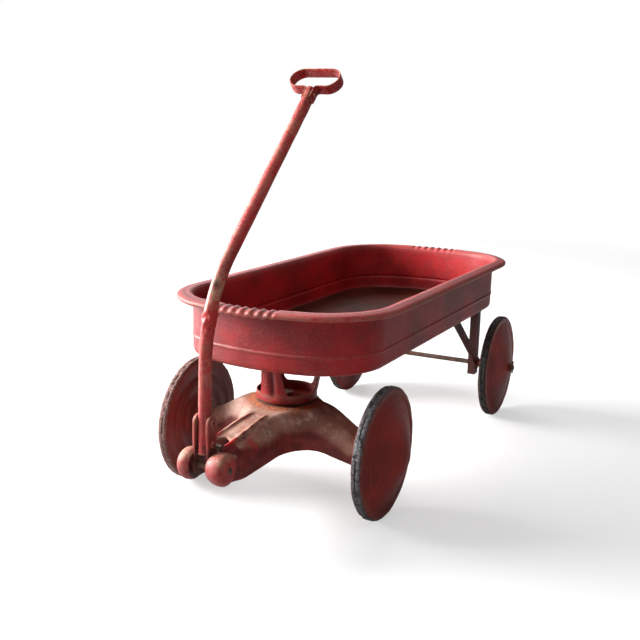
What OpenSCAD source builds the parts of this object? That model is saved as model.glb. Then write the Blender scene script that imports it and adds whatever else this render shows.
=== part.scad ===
// Child's pressed-steel pull wagon: a deep tub on a riveted bolster, a cast-look front yoke
// that steers about a king pin, four pressed disc wheels and a bent tube handle.
// Own frame: +Z up, front towards -Y, right side +X, floor at z = 0.

/* [Tub] */
// Length of the tub over its rolled rim
tub_len = 790; // [760:1:820]
// Width of the tub over its rolled rim
tub_w = 369; // [362:1:376]
// Height of the tub's underside above the ground
tub_under_z = 229; // [227:0.5:232]
// Height of the crown of the rim above the ground
rim_z = 325; // [318:1:330]
// Width of the rim outside the wall
rim_over = 25.4; // [22:0.2:27]
// Radius of the tub's corners, at the rim
corner_r = 133.6; // [125:0.5:138]
// Radius of the bowed ends, at the rim
end_r = 336; // [320:1:400]
// Thickness of the tub's sheet steel
tub_sheet = 1.6; // [1.2:0.1:2]

/* [Wheels] */
// Diameter of a wheel over its tyre
wheel_d = 203.2; // [200:0.1:204]
// Distance from the front axle to the rear axle
wheelbase = 585; // [575:1:595]
// Distance between the outer faces of a pair of tyres
track_w = 349; // [347:0.5:352]
// Width of a tyre
tyre_w = 16; // [14:0.5:16]
// Height of the outer disc's cone beyond the tyre
cone_h = 33; // [30:1:34]
// How far the rear wheels' cones stand out of their rims
rear_cone_h = 21; // [20:1:24]
// Diameter of the axle rods
axle_d = 9.5; // [9:0.1:10]

/* [Yoke] */
// Height of the flat pad that the turntable bears on
pad_z = 160; // [158:0.5:161]
// Distance of the handle hinge in front of the king pin
hinge_reach = 228; // [226:1:230]
// Height of the handle hinge
hinge_z = 125.5; // [124:0.5:127]
// Diameter of the rounded knuckles at the hinge
knuckle_d = 46; // [45:0.5:47]
// Width of the slot between the knuckles
slot_w = 25; // [24.8:0.1:26]
// Width of the yoke across its arms
yoke_w = 300; // [296:1:301]
// Thickness of the yoke's pressed sheet
yoke_sheet = 3; // [2.5:0.1:3.5]

/* [Handle] */
// Outside diameter of the handle tube
tube_d = 18; // [17:0.5:18]
// Lean of the handle's lower length from upright
low_lean = 1.5; // [1:0.1:2.5]
// Lean of the handle's upper length from upright
up_lean = 45.6; // [42:0.2:48]
// Radius of the bend between the two lengths
bend_r = 190; // [170:1:200]
// Height of the corner that the two lengths would meet at
bend_z = 350; // [345:1:355]
// Length of the upper length from that corner to the tube's end
up_len = 371; // [365:1:378]
// Width of the grip loop
grip_w = 85; // [80:1:90]
// Depth of the grip loop along the handle
grip_h = 39; // [37:0.5:41]

/* [Hidden] */
$fn = 48;

paint = "firebrick";
dark_paint = "maroon";
bare = "tan";
steel = "dimgray";
rubber = "darkslategray";

wheel_r = wheel_d / 2;
axle_r = axle_d / 2;
knuckle_r = knuckle_d / 2;
tube_r = tube_d / 2;
// The part is measured from the king pin and shifted so that its own middle is at y = 0.
front_reach = hinge_reach + knuckle_r;
y_shift = (front_reach - (wheelbase + wheel_r)) / 2;
tub_mid_y = 265;

// A smooth 0 to 1 step.
function clamp01(t) = max(0, min(1, t));
function ease(t) = clamp01(t) * clamp01(t) * (3 - 2 * clamp01(t));
// Points of an arc about [cx, cy] from angle a0 to a1 in n steps.
function arc(cx, cy, r, a0, a1, n) = [for (i = [0:n]) let (a = a0 + (a1 - a0) * i / n) [cx + r * cos(a), cy + r * sin(a)]];
function flip_x(pts) = [for (i = [len(pts) - 1:-1:0]) [-pts[i][0], pts[i][1]]];
function flip_y(pts) = [for (i = [len(pts) - 1:-1:0]) [pts[i][0], -pts[i][1]]];

module at_king_pin() {
    translate([0, y_shift, 0]) children();
}

// ---------------------------------------------------------------- tub
// The outline is two bowed ends, four corner arcs and two straight sides, inset by a distance d.
corner_cx = tub_w / 2 - corner_r;
end_turn = asin(corner_cx / (end_r - corner_r));
end_cy = tub_len / 2 - end_r;
corner_cy = end_cy + (end_r - corner_r) * cos(end_turn);
// One quarter of the outline, from the end of the straight side to the middle of the rear end.
function quarter(d) = concat(
    arc(corner_cx, corner_cy, corner_r - d, 0, 90 - end_turn, 14),
    [for (i = [1:5]) let (a = 90 - end_turn * (1 - i / 5)) [(end_r - d) * cos(a), end_cy + (end_r - d) * sin(a)]]
);
function without_last(pts) = [for (i = [0:len(pts) - 2]) pts[i]];
function tub_ring(d) = let (q = quarter(d), rear = concat(q, flip_x(without_last(q)))) concat(rear, flip_y(rear));

// Profile of the sheet as [inset, height], up the outside, over the rim and down the inside.
wall_d = rim_over;
floor_fillet = 9;
bead_z = tub_under_z + 28.5;
bead_out = 1.6;
bead_half = 4;
lip_z = rim_z - 10;
crown_r = 9;
edge_r = 5;
crown_sag = 1.5;
neck_r = 7;
// Outside face: fillet, wall with its raised bead, the neck under the rim and the rolled edge.
outer_profile = concat(
    arc(wall_d + floor_fillet, tub_under_z + floor_fillet, floor_fillet, 270, 180, 4),
    [[wall_d, bead_z - bead_half], [wall_d - bead_out, bead_z], [wall_d, bead_z + bead_half]],
    arc(wall_d - neck_r, lip_z - neck_r + 4, neck_r, 0, 90, 3),
    [[edge_r + 2, lip_z + 3.5], [edge_r, lip_z], [2, lip_z + 0.5], [0, lip_z + edge_r - 1]],
    [[1, rim_z - 3.2], [edge_r, rim_z - crown_sag]]
);
// Inside face: the crown, its roll into the tub, the wall with its bead and the floor fillet.
in_d = wall_d + tub_sheet;
in_fillet = floor_fillet - tub_sheet;
inner_profile = concat(
    arc(in_d - crown_r, rim_z - crown_r, crown_r, 90, 0, 5),
    [[in_d, bead_z + bead_half], [in_d - bead_out, bead_z], [in_d, bead_z - bead_half]],
    arc(in_d + in_fillet, tub_under_z + tub_sheet + in_fillet, in_fillet, 180, 270, 4)
);
tub_profile = concat(outer_profile, inner_profile);

// Sweeps the profile round the outline and closes it with the flat floor.
module swept_tub() {
    rings = [for (p = tub_profile) [for (q = tub_ring(p[0])) [q[0], q[1], p[1]]]];
    n = len(rings[0]);
    m = len(rings);
    points = [for (ring = rings) for (q = ring) q];
    sides = [for (j = [0:m - 2]) for (i = [0:n - 1]) let (k = (i + 1) % n) [j * n + i, (j + 1) * n + i, (j + 1) * n + k, j * n + k]];
    under = [for (i = [0:n - 1]) i];
    inside = [for (i = [n - 1:-1:0]) (m - 1) * n + i];
    polyhedron(points, concat([under], sides, [inside]), convexity = 8);
}

module tub() {
    color(paint) at_king_pin() translate([0, tub_mid_y, 0]) swept_tub();
}

// ---------------------------------------------------------------- front bolster
cup_r = 47.5;
cup_sheet = 2.5;
cup_z = 163;
cup_h = 14;
leg_top_r = 56;
foot_r = 76;
king_pin_r = 6.35;
rivet_r = 3;
rivet_head_r = 5;
rivet_head_h = 2.4;
foot_angles = [-90, 30, 150];
foot_span = 44;
foot_rivet_turn = 10;
foot_rivet_r = 66;
foot_rivets = [for (a = foot_angles) for (s = [-1, 1]) let (t = a + s * foot_rivet_turn) [foot_rivet_r * cos(t), foot_rivet_r * sin(t)]];

// Cup with a flat bottom, a leaning wall and a flange, cut into three legs by windows.
module front_bolster() {
    leg_z0 = cup_z + cup_h;
    color(paint) at_king_pin() difference() {
        rotate_extrude() polygon([
            [0, cup_z], [cup_r, cup_z], [cup_r, leg_z0], [leg_top_r, tub_under_z - cup_sheet],
            [foot_r, tub_under_z - cup_sheet], [foot_r, tub_under_z], [leg_top_r - cup_sheet, tub_under_z],
            [cup_r - cup_sheet, leg_z0], [cup_r - cup_sheet, cup_z + cup_sheet], [0, cup_z + cup_sheet]
        ]);
        for (a = foot_angles) rotate(a + 60) leg_window(leg_z0);
        translate([0, 0, cup_z - 1]) cylinder(r = king_pin_r, h = cup_sheet + 2);
        for (p = foot_rivets) translate([p[0], p[1], tub_under_z - 2 * cup_sheet]) cylinder(r = rivet_r, h = 3 * cup_sheet);
    }
}

// Wedge that clears the wall between two legs.
module leg_window(z0) {
    half = 60 - foot_span / 2;
    reach = foot_r * 1.6;
    translate([0, 0, z0]) linear_extrude(tub_under_z - z0 + 1)
        polygon([[0, 0], [reach * cos(half), -reach * sin(half)], [reach, 0], [reach * cos(half), reach * sin(half)]]);
}

// A rivet standing on z = 0 that clamps a stack of height h between two domed heads.
module rivet(h) {
    cylinder(r = rivet_r, h = h);
    for (s = [0, 1]) translate([0, 0, s * h]) mirror([0, 0, 1 - s]) rivet_head();
}

module rivet_head() {
    dome = (rivet_head_r * rivet_head_r + rivet_head_h * rivet_head_h) / (2 * rivet_head_h);
    intersection() {
        translate([0, 0, rivet_head_h - dome]) sphere(r = dome);
        cylinder(r = dome, h = dome);
    }
}

// A rivet under the tub, flush with the floor above: its shank and lower head in a flange of thickness t.
module floor_rivet(x, y, t) {
    translate([x, y, tub_under_z - t]) {
        cylinder(r = rivet_r, h = t);
        mirror([0, 0, 1]) rivet_head();
    }
}

module bolster_rivets() {
    color(dark_paint) at_king_pin() for (p = foot_rivets) floor_rivet(p[0], p[1], cup_sheet);
}

washer_gap = 0.3;
plate_t = 2;
module thrust_washer() {
    z0 = pad_z + washer_gap;
    color(steel) at_king_pin() translate([0, 0, z0]) difference() {
        cylinder(r = cup_r - 6, h = cup_z - z0);
        translate([0, 0, -1]) cylinder(r = king_pin_r, h = 10);
    }
}

nut_h = 8;
nut_flange_r = 15;
nut_flange_h = 2;
nut_z = pad_z - plate_t - yoke_sheet - washer_gap - nut_flange_h - nut_h;
module king_pin() {
    color(steel) at_king_pin() {
        translate([0, 0, nut_z - 4]) cylinder(r = king_pin_r, h = cup_z + cup_sheet - nut_z + 4);
        translate([0, 0, cup_z + cup_sheet]) cylinder(r = 11, h = 7, $fn = 6);
    }
}

module king_pin_nut() {
    color(steel) at_king_pin() translate([0, 0, nut_z]) difference() {
        union() {
            cylinder(r = 11, h = nut_h, $fn = 6);
            translate([0, 0, nut_h]) cylinder(r = nut_flange_r, h = nut_flange_h);
        }
        translate([0, 0, -1]) cylinder(r = king_pin_r, h = nut_h + 4);
    }
}

// ---------------------------------------------------------------- rear axle
leg_in_x = 109;
leg_out_x = 124;
leg_depth = 21;
leg_sheet = 2.5;
leg_low_z = 78;
shoulder_r = 12;
tab_len = 26;
brace_t = 3;
brace_w = 20;
brace_foot_y = 415;
brace_eye_r = 12;
spacer_r = 8;
hub_in_x = 152;
cap_x = 184;

// The rear axle stands out of the right wheel, where a washer and a bent nail hold the wheel on.
axle_over = 4;
bare_end_x = track_w / 2 + rear_cone_h + 7;
nail_x = bare_end_x - 2.3;
nail_r = 1.5;
module rear_axle() {
    color(steel) at_king_pin() translate([-cap_x - axle_over, wheelbase, wheel_r]) rotate([0, 90, 0])
        cylinder(r = axle_r, h = cap_x + axle_over + bare_end_x);
}
module rear_right_washer() {
    x0 = track_w / 2 + rear_cone_h + side_gap;
    color(steel) at_king_pin() translate([x0, wheelbase, wheel_r]) rotate([0, 90, 0]) difference() {
        cylinder(r = 9, h = 1.5);
        translate([0, 0, -1]) cylinder(r = axle_r, h = 4);
    }
}
// Bent nail in place of a split pin, above and below the axle's end.
module rear_right_nail() {
    color(steel) at_king_pin() translate([nail_x, wheelbase, wheel_r]) {
        for (s = [0, 1]) mirror([0, 0, s]) translate([0, 0, axle_r]) cylinder(r = nail_r, h = 7);
        translate([0, 0, axle_r + 7]) cylinder(r = 3, h = 1);
    }
}

// Channel leg, open towards the middle, with a rounded shoulder and a tab under the floor.
module rear_bracket() {
    top = tub_under_z;
    difference() {
        translate([0, wheelbase - leg_depth / 2, 0]) rotate([90, 0, 0]) mirror([0, 0, 1]) linear_extrude(leg_depth) bracket_side(0);
        translate([0, wheelbase - leg_depth / 2 + leg_sheet, 0]) rotate([90, 0, 0]) mirror([0, 0, 1])
            linear_extrude(leg_depth - 2 * leg_sheet) bracket_side(leg_sheet);
        translate([leg_in_x - 1, wheelbase, wheel_r]) rotate([0, 90, 0]) cylinder(r = axle_r, h = leg_out_x - leg_in_x + 2);
        for (p = bracket_rivets) translate([p[0], p[1], top - 2 * leg_sheet]) cylinder(r = rivet_r, h = 3 * leg_sheet);
    }
}

// Side view of the leg; the inset d leaves the sheet on the outside and on the top.
module bracket_side(d) {
    low = leg_low_z - (d > 0 ? 1 : 0);
    inner = leg_in_x - (d > 0 ? 1 : 0);
    union() {
        translate([inner, low]) square([leg_out_x - d - inner, tub_under_z - shoulder_r - low]);
        translate([inner, low]) square([leg_out_x - shoulder_r - inner, tub_under_z - d - low]);
        translate([leg_out_x - shoulder_r, tub_under_z - shoulder_r]) circle(r = shoulder_r - d);
        if (d == 0) translate([leg_in_x - tab_len, tub_under_z - leg_sheet]) square([tab_len + 2, leg_sheet]);
    }
}

bracket_rivet_x = leg_in_x - 14;
bracket_rivets = [for (s = [-1, 1]) [bracket_rivet_x, wheelbase + s * 7]];
brace_x = leg_out_x;
brace_rivet = [brace_x - 9, brace_foot_y - 2];
brace_rise = tub_under_z - wheel_r;
brace_tilt = atan(brace_rise / (wheelbase - brace_foot_y));
brace_foot_w = 18;
// Distance along the strap's edge on side e (1 upper, -1 lower) to the floor, and a point of that edge.
function brace_reach(e) = (brace_rise - e * brace_w / 2 * cos(brace_tilt)) / sin(brace_tilt);
function brace_point(e, l) = [e * brace_w / 2 * sin(brace_tilt) - l * cos(brace_tilt), e * brace_w / 2 * cos(brace_tilt) + l * sin(brace_tilt)];

// Flat strap from an eye on the axle, up and forward to a foot bent under the floor.
module rear_brace() {
    difference() {
        union() {
            translate([brace_x, wheelbase, wheel_r]) rotate([90, 0, 90]) linear_extrude(brace_t) union() {
                circle(r = brace_eye_r);
                polygon([brace_point(1, 0), brace_point(1, brace_reach(1)), brace_point(-1, brace_reach(-1)), brace_point(-1, 0)]);
            }
            translate([brace_x - brace_foot_w, brace_foot_y - 12, tub_under_z - brace_t]) cube([brace_foot_w + brace_t / 2, 24, brace_t]);
        }
        translate([brace_x - 1, wheelbase, wheel_r]) rotate([0, 90, 0]) cylinder(r = axle_r, h = brace_t + 2);
        translate([brace_rivet[0], brace_rivet[1], tub_under_z - 2 * brace_t]) cylinder(r = rivet_r, h = 3 * brace_t);
    }
}

module rear_bracket_right() {
    color(dark_paint) at_king_pin() rear_bracket();
}
module rear_bracket_left() {
    color(dark_paint) at_king_pin() mirror([1, 0, 0]) rear_bracket();
}
module rear_brace_right() {
    color(dark_paint) at_king_pin() rear_brace();
}
module rear_brace_left() {
    color(dark_paint) at_king_pin() mirror([1, 0, 0]) rear_brace();
}

module rear_rivets() {
    color(dark_paint) at_king_pin() for (s = [0, 1]) mirror([s, 0, 0]) {
        for (p = bracket_rivets) floor_rivet(p[0], p[1], leg_sheet);
        floor_rivet(brace_rivet[0], brace_rivet[1], brace_t);
    }
}

side_gap = 0.4;
// A tube on an axle from x0 to x1, on both sides.
module axle_pair(y, r, x0, x1) {
    for (s = [0, 1]) mirror([s, 0, 0]) translate([x0, y, wheel_r]) rotate([0, 90, 0]) difference() {
        cylinder(r = r, h = x1 - x0);
        translate([0, 0, -1]) cylinder(r = axle_r, h = x1 - x0 + 2);
    }
}

module rear_spacers() {
    color(steel) at_king_pin() axle_pair(wheelbase, spacer_r, brace_x + brace_t, hub_in_x - side_gap);
}

// Push-on cap that holds a wheel on, inside its cone, on side s (1 right, -1 left).
cap_r = 8;
module axle_cap(s, y) {
    at_king_pin() mirror([s < 0 ? 1 : 0, 0, 0]) translate([cap_x, y, wheel_r]) rotate([0, 90, 0]) difference() {
        cylinder(r = cap_r, h = axle_over);
        translate([0, 0, -1]) cylinder(r = axle_r, h = axle_over + 2);
    }
}
module rear_axle_cap() {
    color(steel) axle_cap(-1, wheelbase);
}
module front_axle_caps() {
    color(steel) for (s = [-1, 1]) axle_cap(s, 0);
}

// ---------------------------------------------------------------- wheels
hub_bore_gap = 0.06;
hub_r = 8;
hub_out_x = cap_x - side_gap;
rim_out_x = track_w / 2;
rim_in_x = rim_out_x - tyre_w;
disc_t = 1.2;
disc_r = wheel_r - 2.6;
tyre_in_r = wheel_r - 10.5;

// Outer disc: a closed cone with stepped rings, turned down at its edge. x runs out along the axle.
// One ring of the press is a small rise and fall on the cone's slope.
ring_count = 4;
ring_h = 1.6;
cone_foot_r = disc_r - 11;
cone_tip_r = 9;
function cone_z(r, h) = h * (1 - (r - cone_tip_r) / (cone_foot_r - cone_tip_r));
function ring_bump(r) = let (t = ring_count * (r - cone_tip_r) / (cone_foot_r - cone_tip_r)) ring_h * ease(2 * abs(t - floor(t) - 0.5));
cone_steps = 32;
pierced_r = axle_r + 0.6;
function cone_face(h) = [for (i = [0:cone_steps]) let (r = cone_foot_r + (cone_tip_r - cone_foot_r) * i / cone_steps) [r, cone_z(r, h) + ring_bump(r) - ring_h]];
edge_roll = 0.4;
disc_edge = [[disc_r, -edge_roll], [disc_r - 2 * edge_roll, 0], [cone_foot_r + 2, 0]];
// The tip is flat, and closed unless it is pierced for the axle's end.
module outer_disc(tip_in_r, h) {
    face = concat(disc_edge, cone_face(h), [[cone_tip_r - 1, h], [tip_in_r, h]]);
    back = [for (i = [len(face) - 1:-1:1]) [face[i][0], face[i][1] - disc_t]];
    rotate_extrude($fn = 96) polygon(concat(face, back, [[disc_r, -disc_t]]));
}

// Inner disc: flat flange, a ring and a shallow dish down to the hub.
dish_in = hub_in_x - rim_in_x + 1.4;
module inner_disc() {
    face = [
        [disc_r, edge_roll], [disc_r - 2 * edge_roll, 0], [84, 0], [80, 0.6], [76, 3], [70, 3], [64, 0.6], [60, 0],
        [54, 0.8], [50, 2.6], [44, 2.6], [38, 0], [34, -1], [26, dish_in], [hub_r, dish_in]
    ];
    back = [for (i = [len(face) - 1:-1:1]) [face[i][0], face[i][1] + disc_t]];
    rotate_extrude($fn = 96) polygon(concat(face, back, [[disc_r, disc_t]]));
}

// Solid tyre: a flat band with rounded shoulders, held between the flanges of the two discs.
shoulder = 1.8;
band_w = tyre_w - 2 * disc_t;
module tyre() {
    rotate_extrude($fn = 96) translate([tyre_in_r, disc_t - tyre_w]) union() {
        square([wheel_r - tyre_in_r - shoulder, band_w]);
        translate([0, shoulder]) square([wheel_r - tyre_in_r, band_w - 2 * shoulder]);
        for (y = [shoulder, band_w - shoulder]) translate([wheel_r - tyre_in_r - shoulder, y]) circle(r = shoulder);
    }
}

// Hub sleeve that turns on the axle.
module hub() {
    difference() {
        translate([0, 0, hub_in_x]) cylinder(r = hub_r, h = hub_out_x - hub_in_x);
        translate([0, 0, hub_in_x - 1]) cylinder(r = axle_r + hub_bore_gap, h = hub_out_x - hub_in_x + 2);
    }
}

// Puts a wheel piece, drawn about Z, on an axle at y on side s (1 right, -1 left).
module on_axle(s, y) {
    at_king_pin() translate([0, y, wheel_r]) mirror([s < 0 ? 1 : 0, 0, 0]) rotate([0, 90, 0]) children();
}
module wheel_outer_disc(s, y, tip_in_r) {
    h = y > 0 ? rear_cone_h : cone_h;
    color(dark_paint) on_axle(s, y) translate([0, 0, rim_out_x]) outer_disc(tip_in_r, h);
}
module wheel_inner_disc(s, y) {
    color(dark_paint) on_axle(s, y) translate([0, 0, rim_in_x]) inner_disc();
}
module wheel_tyre(s, y) {
    color(rubber) on_axle(s, y) translate([0, 0, rim_out_x]) tyre();
}
module wheel_hub(s, y) {
    color(steel) on_axle(s, y) hub();
}

// ---------------------------------------------------------------- front yoke
arm_x = yoke_w / 2;
arm_half = 30;
nose_half = 38;
waist_half = 37;
waist_y = -100;
fillet_r = 63;
tail_y = 66;
nose_y = -(hinge_reach - 8);
// Right half of the plan outline from the nose to the tail, front edge first.
front_edge = concat(
    [for (i = [0:6]) [nose_half + (waist_half - nose_half) * i / 6, nose_y + (waist_y - nose_y) * i / 6]],
    [for (i = [1:7]) let (a = 90 * i / 7) [waist_half + fillet_r * (1 - cos(a)), waist_y + fillet_r * sin(a)]],
    [[125, -arm_half - 4], [arm_x, -arm_half]]
);
rear_edge = [for (i = [0:7]) let (t = i / 7) [arm_x - (arm_x - 16) * sin(90 * t), arm_half + (tail_y - arm_half) * (1 - cos(90 * t))]];
arm_end = [for (y = [-0.5, 0, 0.5]) [arm_x, y * arm_half]];
yoke_edge = concat(front_edge, arm_end, rear_edge);

// Height of the pressing along its spine, and how far its shoulders drop at the edge.
spine_drop_arm = 38;
spine_drop_nose = 12;
shoulder_drop = 22;
shoulder_w = 22;
function spine_z(x, y) = pad_z - plate_t - spine_drop_arm * ease((abs(x) - 55) / 95) - spine_drop_nose * ease((-y - 50) / 185);
function seg_dist(p, a, b) = let (ab = b - a, t = clamp01((p - a) * ab / (ab * ab))) norm(p - a - t * ab);
function edge_dist(p) = min([for (e = [front_edge, rear_edge]) for (i = [0:len(e) - 2]) seg_dist(p, e[i], e[i + 1])]);
function crown(x, y) = let (t = clamp01(1 - edge_dist([abs(x), y]) / shoulder_w)) spine_z(x, y) - shoulder_drop * t * t;
function skirt_z(x) = 103 - 17 * ease((abs(x) - 60) / 90);

// Inset of the plan outline by the sheet's thickness, along its normals.
function edge_normal(i) = let (a = yoke_edge[max(i - 1, 0)], b = yoke_edge[min(i + 1, len(yoke_edge) - 1)], d = (b - a) / norm(b - a)) [-d[1], d[0]];
inner_edge = [for (i = [0:len(yoke_edge) - 1]) yoke_edge[i] + yoke_sheet * (i == 0 ? [-1, 1] : edge_normal(i))];
columns = [for (k = [-8:8]) k / 8];

// Pressed shell: a crowned sheet on rows across the plan, with a skirt round its edge.
module pressed_shell() {
    rows = len(yoke_edge);
    n = len(columns);
    top = [for (e = yoke_edge) for (c = columns) [c * e[0], e[1], crown(c * e[0], e[1])]];
    under = [for (e = inner_edge) for (c = columns) [c * e[0], e[1], crown(c * e[0], e[1]) - yoke_sheet]];
    // Boundary of a grid as indices, once round.
    loop = concat(
        [for (k = [0:n - 1]) k],
        [for (i = [1:rows - 1]) i * n + n - 1],
        [for (k = [n - 2:-1:0]) (rows - 1) * n + k],
        [for (i = [rows - 2:-1:1]) i * n]
    );
    m = len(loop);
    outer_low = [for (q = loop) [top[q][0], top[q][1], skirt_z(top[q][0])]];
    inner_low = [for (q = loop) [under[q][0], under[q][1], skirt_z(top[q][0])]];
    u0 = len(top);
    o0 = u0 + len(under);
    i0 = o0 + m;
    quads = [for (i = [0:rows - 2]) for (k = [0:n - 2]) [i * n + k, i * n + k + 1, (i + 1) * n + k + 1, (i + 1) * n + k]];
    top_tris = [for (q = quads) for (t = [[q[2], q[1], q[0]], [q[3], q[2], q[0]]]) t];
    under_tris = [for (q = quads) for (t = [[q[0], q[1], q[2]], [q[0], q[2], q[3]]]) [u0 + t[0], u0 + t[1], u0 + t[2]]];
    skirt = [for (j = [0:m - 1]) let (k = (j + 1) % m) for (t = [
        [loop[j], loop[k], o0 + k], [loop[j], o0 + k, o0 + j],
        [o0 + j, o0 + k, i0 + k], [o0 + j, i0 + k, i0 + j],
        [i0 + j, i0 + k, u0 + loop[k]], [i0 + j, u0 + loop[k], u0 + loop[j]]
    ]) t];
    polyhedron(concat(top, under, outer_low, inner_low), concat(top_tris, under_tris, skirt), convexity = 8);
}

knuckle_out_x = 41;
knuckle_round = 11;
pin_r = 4;
pivot_gap = 0.08;
// Bull-nosed knuckle about the hinge axis, bored for the hinge pin.
module knuckle() {
    depth = knuckle_out_x - slot_w / 2;
    translate([slot_w / 2, -hinge_reach, hinge_z]) rotate([0, 90, 0]) difference() {
        rotate_extrude() union() {
            square([knuckle_r, depth - knuckle_round]);
            square([knuckle_r - knuckle_round, depth]);
            translate([knuckle_r - knuckle_round, depth - knuckle_round]) intersection() {
                circle(r = knuckle_round);
                square(knuckle_round);
            }
        }
        translate([0, 0, -1]) cylinder(r = pin_r, h = depth + 2);
    }
}
module knuckle_right() {
    color(paint) at_king_pin() knuckle();
}
module knuckle_left() {
    color(paint) at_king_pin() mirror([1, 0, 0]) knuckle();
}

slot_back_y = -189;
slot_half = slot_w / 2;
pin_clear_r = 9;
// Plan of the slot: parallel sides and a round back end.
slot_plan = concat(
    [[slot_half, -front_reach], [slot_half, slot_back_y]],
    arc(0, slot_back_y, slot_half, 15, 165, 10),
    [[-slot_half, slot_back_y], [-slot_half, -front_reach]]
);
module yoke_shell() {
    color(bare) at_king_pin() difference() {
        pressed_shell();
        translate([0, 0, hinge_z - knuckle_r]) linear_extrude(2 * knuckle_r) polygon(slot_plan);
        translate([0, -hinge_reach, hinge_z]) rotate([0, 90, 0]) cylinder(r = knuckle_r, h = 2 * knuckle_out_x, center = true);
        translate([0, 0, pad_z - 20]) cylinder(r = pin_clear_r, h = 30);
        translate([0, 0, wheel_r]) rotate([0, 90, 0]) cylinder(r = tube_bore_r, h = yoke_w + 2, center = true);
    }
}

plate_r = 52;
// Flat plate on top of the yoke that the bolster turns on, bored to run on the king pin.
module turntable_plate() {
    color(bare) at_king_pin() translate([0, 0, pad_z - plate_t]) difference() {
        cylinder(r = plate_r, h = plate_t);
        translate([0, 0, -1]) cylinder(r = king_pin_r + pivot_gap, h = plate_t + 2);
    }
}

tube_bore_r = 8;
module front_axle() {
    color(steel) at_king_pin() translate([0, 0, wheel_r]) rotate([0, 90, 0]) cylinder(r = axle_r, h = 2 * (cap_x + axle_over), center = true);
}
// Sleeve welded inside the yoke that carries the axle.
module axle_tube() {
    color(steel) at_king_pin() translate([0, 0, wheel_r]) rotate([0, 90, 0]) difference() {
        cylinder(r = tube_bore_r, h = yoke_w, center = true);
        cylinder(r = axle_r, h = yoke_w + 2, center = true);
    }
}
module front_washers() {
    color(steel) at_king_pin() axle_pair(0, 10, arm_x, hub_in_x - side_gap);
}
module hinge_pin() {
    color(steel) at_king_pin() translate([0, -hinge_reach, hinge_z]) rotate([0, 90, 0]) {
        cylinder(r = pin_r, h = 2 * knuckle_out_x, center = true);
        for (s = [0, 1]) mirror([0, 0, s]) translate([0, 0, knuckle_out_x]) rivet_head();
    }
}

// Cross bar behind the handle that it leans back against.
stop_r = 3.5;
stop_half = 18;
stop_gap = 0.3;
strap_w = 24;
stop_z = hinge_z + 24;
stop_y = -hinge_reach + strap_w / 2 / cos(low_lean) + (stop_z - hinge_z) * tan(low_lean) + stop_r + stop_gap;
module slot_stop() {
    color(steel) at_king_pin() translate([0, stop_y, stop_z]) rotate([0, 90, 0]) cylinder(r = stop_r, h = 2 * stop_half, center = true);
}

// ---------------------------------------------------------------- handle
tube_wall = 1.4;
strap_t = 3;
strap_top = 72;
strap_eye_r = 20.5;
tube_foot = 18;
half_turn = (up_lean - low_lean) / 2;
bend_leg = bend_r * tan(half_turn);
low_len = (bend_z - hinge_z) / cos(low_lean) - bend_leg;
flat_len = 24;
flat_t = 11;
flat_w = 20;

// Frames along the handle: at the hinge, z runs up the lower length.
module along_lower() {
    at_king_pin() translate([0, -hinge_reach, hinge_z]) rotate([-low_lean, 0, 0]) children();
}
module along_upper() {
    along_lower() translate([0, 0, low_len + bend_leg]) rotate([-2 * half_turn, 0, 0]) children();
}

// Stations along the tube as [y, z, lean, half-width in x, half-width across]: bend first.
bend_steps = 10;
upper_dir = [sin(2 * half_turn), cos(2 * half_turn)];
corner_at = low_len + bend_leg;
function on_upper(l) = [l * upper_dir[0], corner_at + l * upper_dir[1]];
function bend_stations(r) = [for (i = [0:bend_steps]) let (a = 2 * half_turn * i / bend_steps)
    [bend_r * (1 - cos(a)), low_len + bend_r * sin(a), a, r, r]];
function upper_station(l, rx, ry) = let (p = on_upper(l)) [p[0], p[1], 2 * half_turn, rx, ry];
bore_r = tube_r - tube_wall;
press_len = 16;
flat_top = up_len + 4 + flat_len;
outer_stations = concat(
    [[0, tube_foot, 0, tube_r, tube_r]],
    bend_stations(tube_r),
    [upper_station(up_len - press_len, tube_r, tube_r), upper_station(up_len - press_len / 2, tube_r * 0.82, tube_r * 1.08)],
    [upper_station(up_len + 4, flat_t / 2, flat_w / 2), upper_station(flat_top, flat_t / 2, flat_w / 2)]
);
bore_stations = concat([[0, tube_foot, 0, bore_r, bore_r]], bend_stations(bore_r), [upper_station(up_len - press_len - 4, bore_r, bore_r)]);
tube_stations = concat([for (i = [len(bore_stations) - 1:-1:0]) bore_stations[i]], outer_stations);
tube_sides = 24;
function tube_ring(s) = [for (k = [0:tube_sides - 1]) let (t = 360 * k / tube_sides)
    [s[3] * cos(t), s[0] + s[4] * sin(t) * cos(s[2]), s[1] - s[4] * sin(t) * sin(s[2])]];

// One bent tube, open at its foot and pressed flat at its top to take the grip.
module handle_tube() {
    n = tube_sides;
    m = len(tube_stations);
    points = [for (s = tube_stations) for (q = tube_ring(s)) q];
    sides = [for (j = [0:m - 2]) for (i = [0:n - 1]) let (k = (i + 1) % n) [j * n + i, (j + 1) * n + i, (j + 1) * n + k, j * n + k]];
    first = [for (i = [0:n - 1]) i];
    last = [for (i = [n - 1:-1:0]) (m - 1) * n + i];
    color(paint) difference() {
        along_lower() polyhedron(points, concat([first], sides, [last]), convexity = 8);
        for (h = strap_rivet_h) along_lower() translate([0, 0, h]) rotate([0, 90, 0]) cylinder(r = rivet_r, h = 3 * tube_d, center = true);
        along_upper() translate([0, 0, up_len + grip_rivet_h]) rotate([0, 90, 0]) cylinder(r = rivet_r, h = tube_d, center = true);
    }
}

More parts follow.
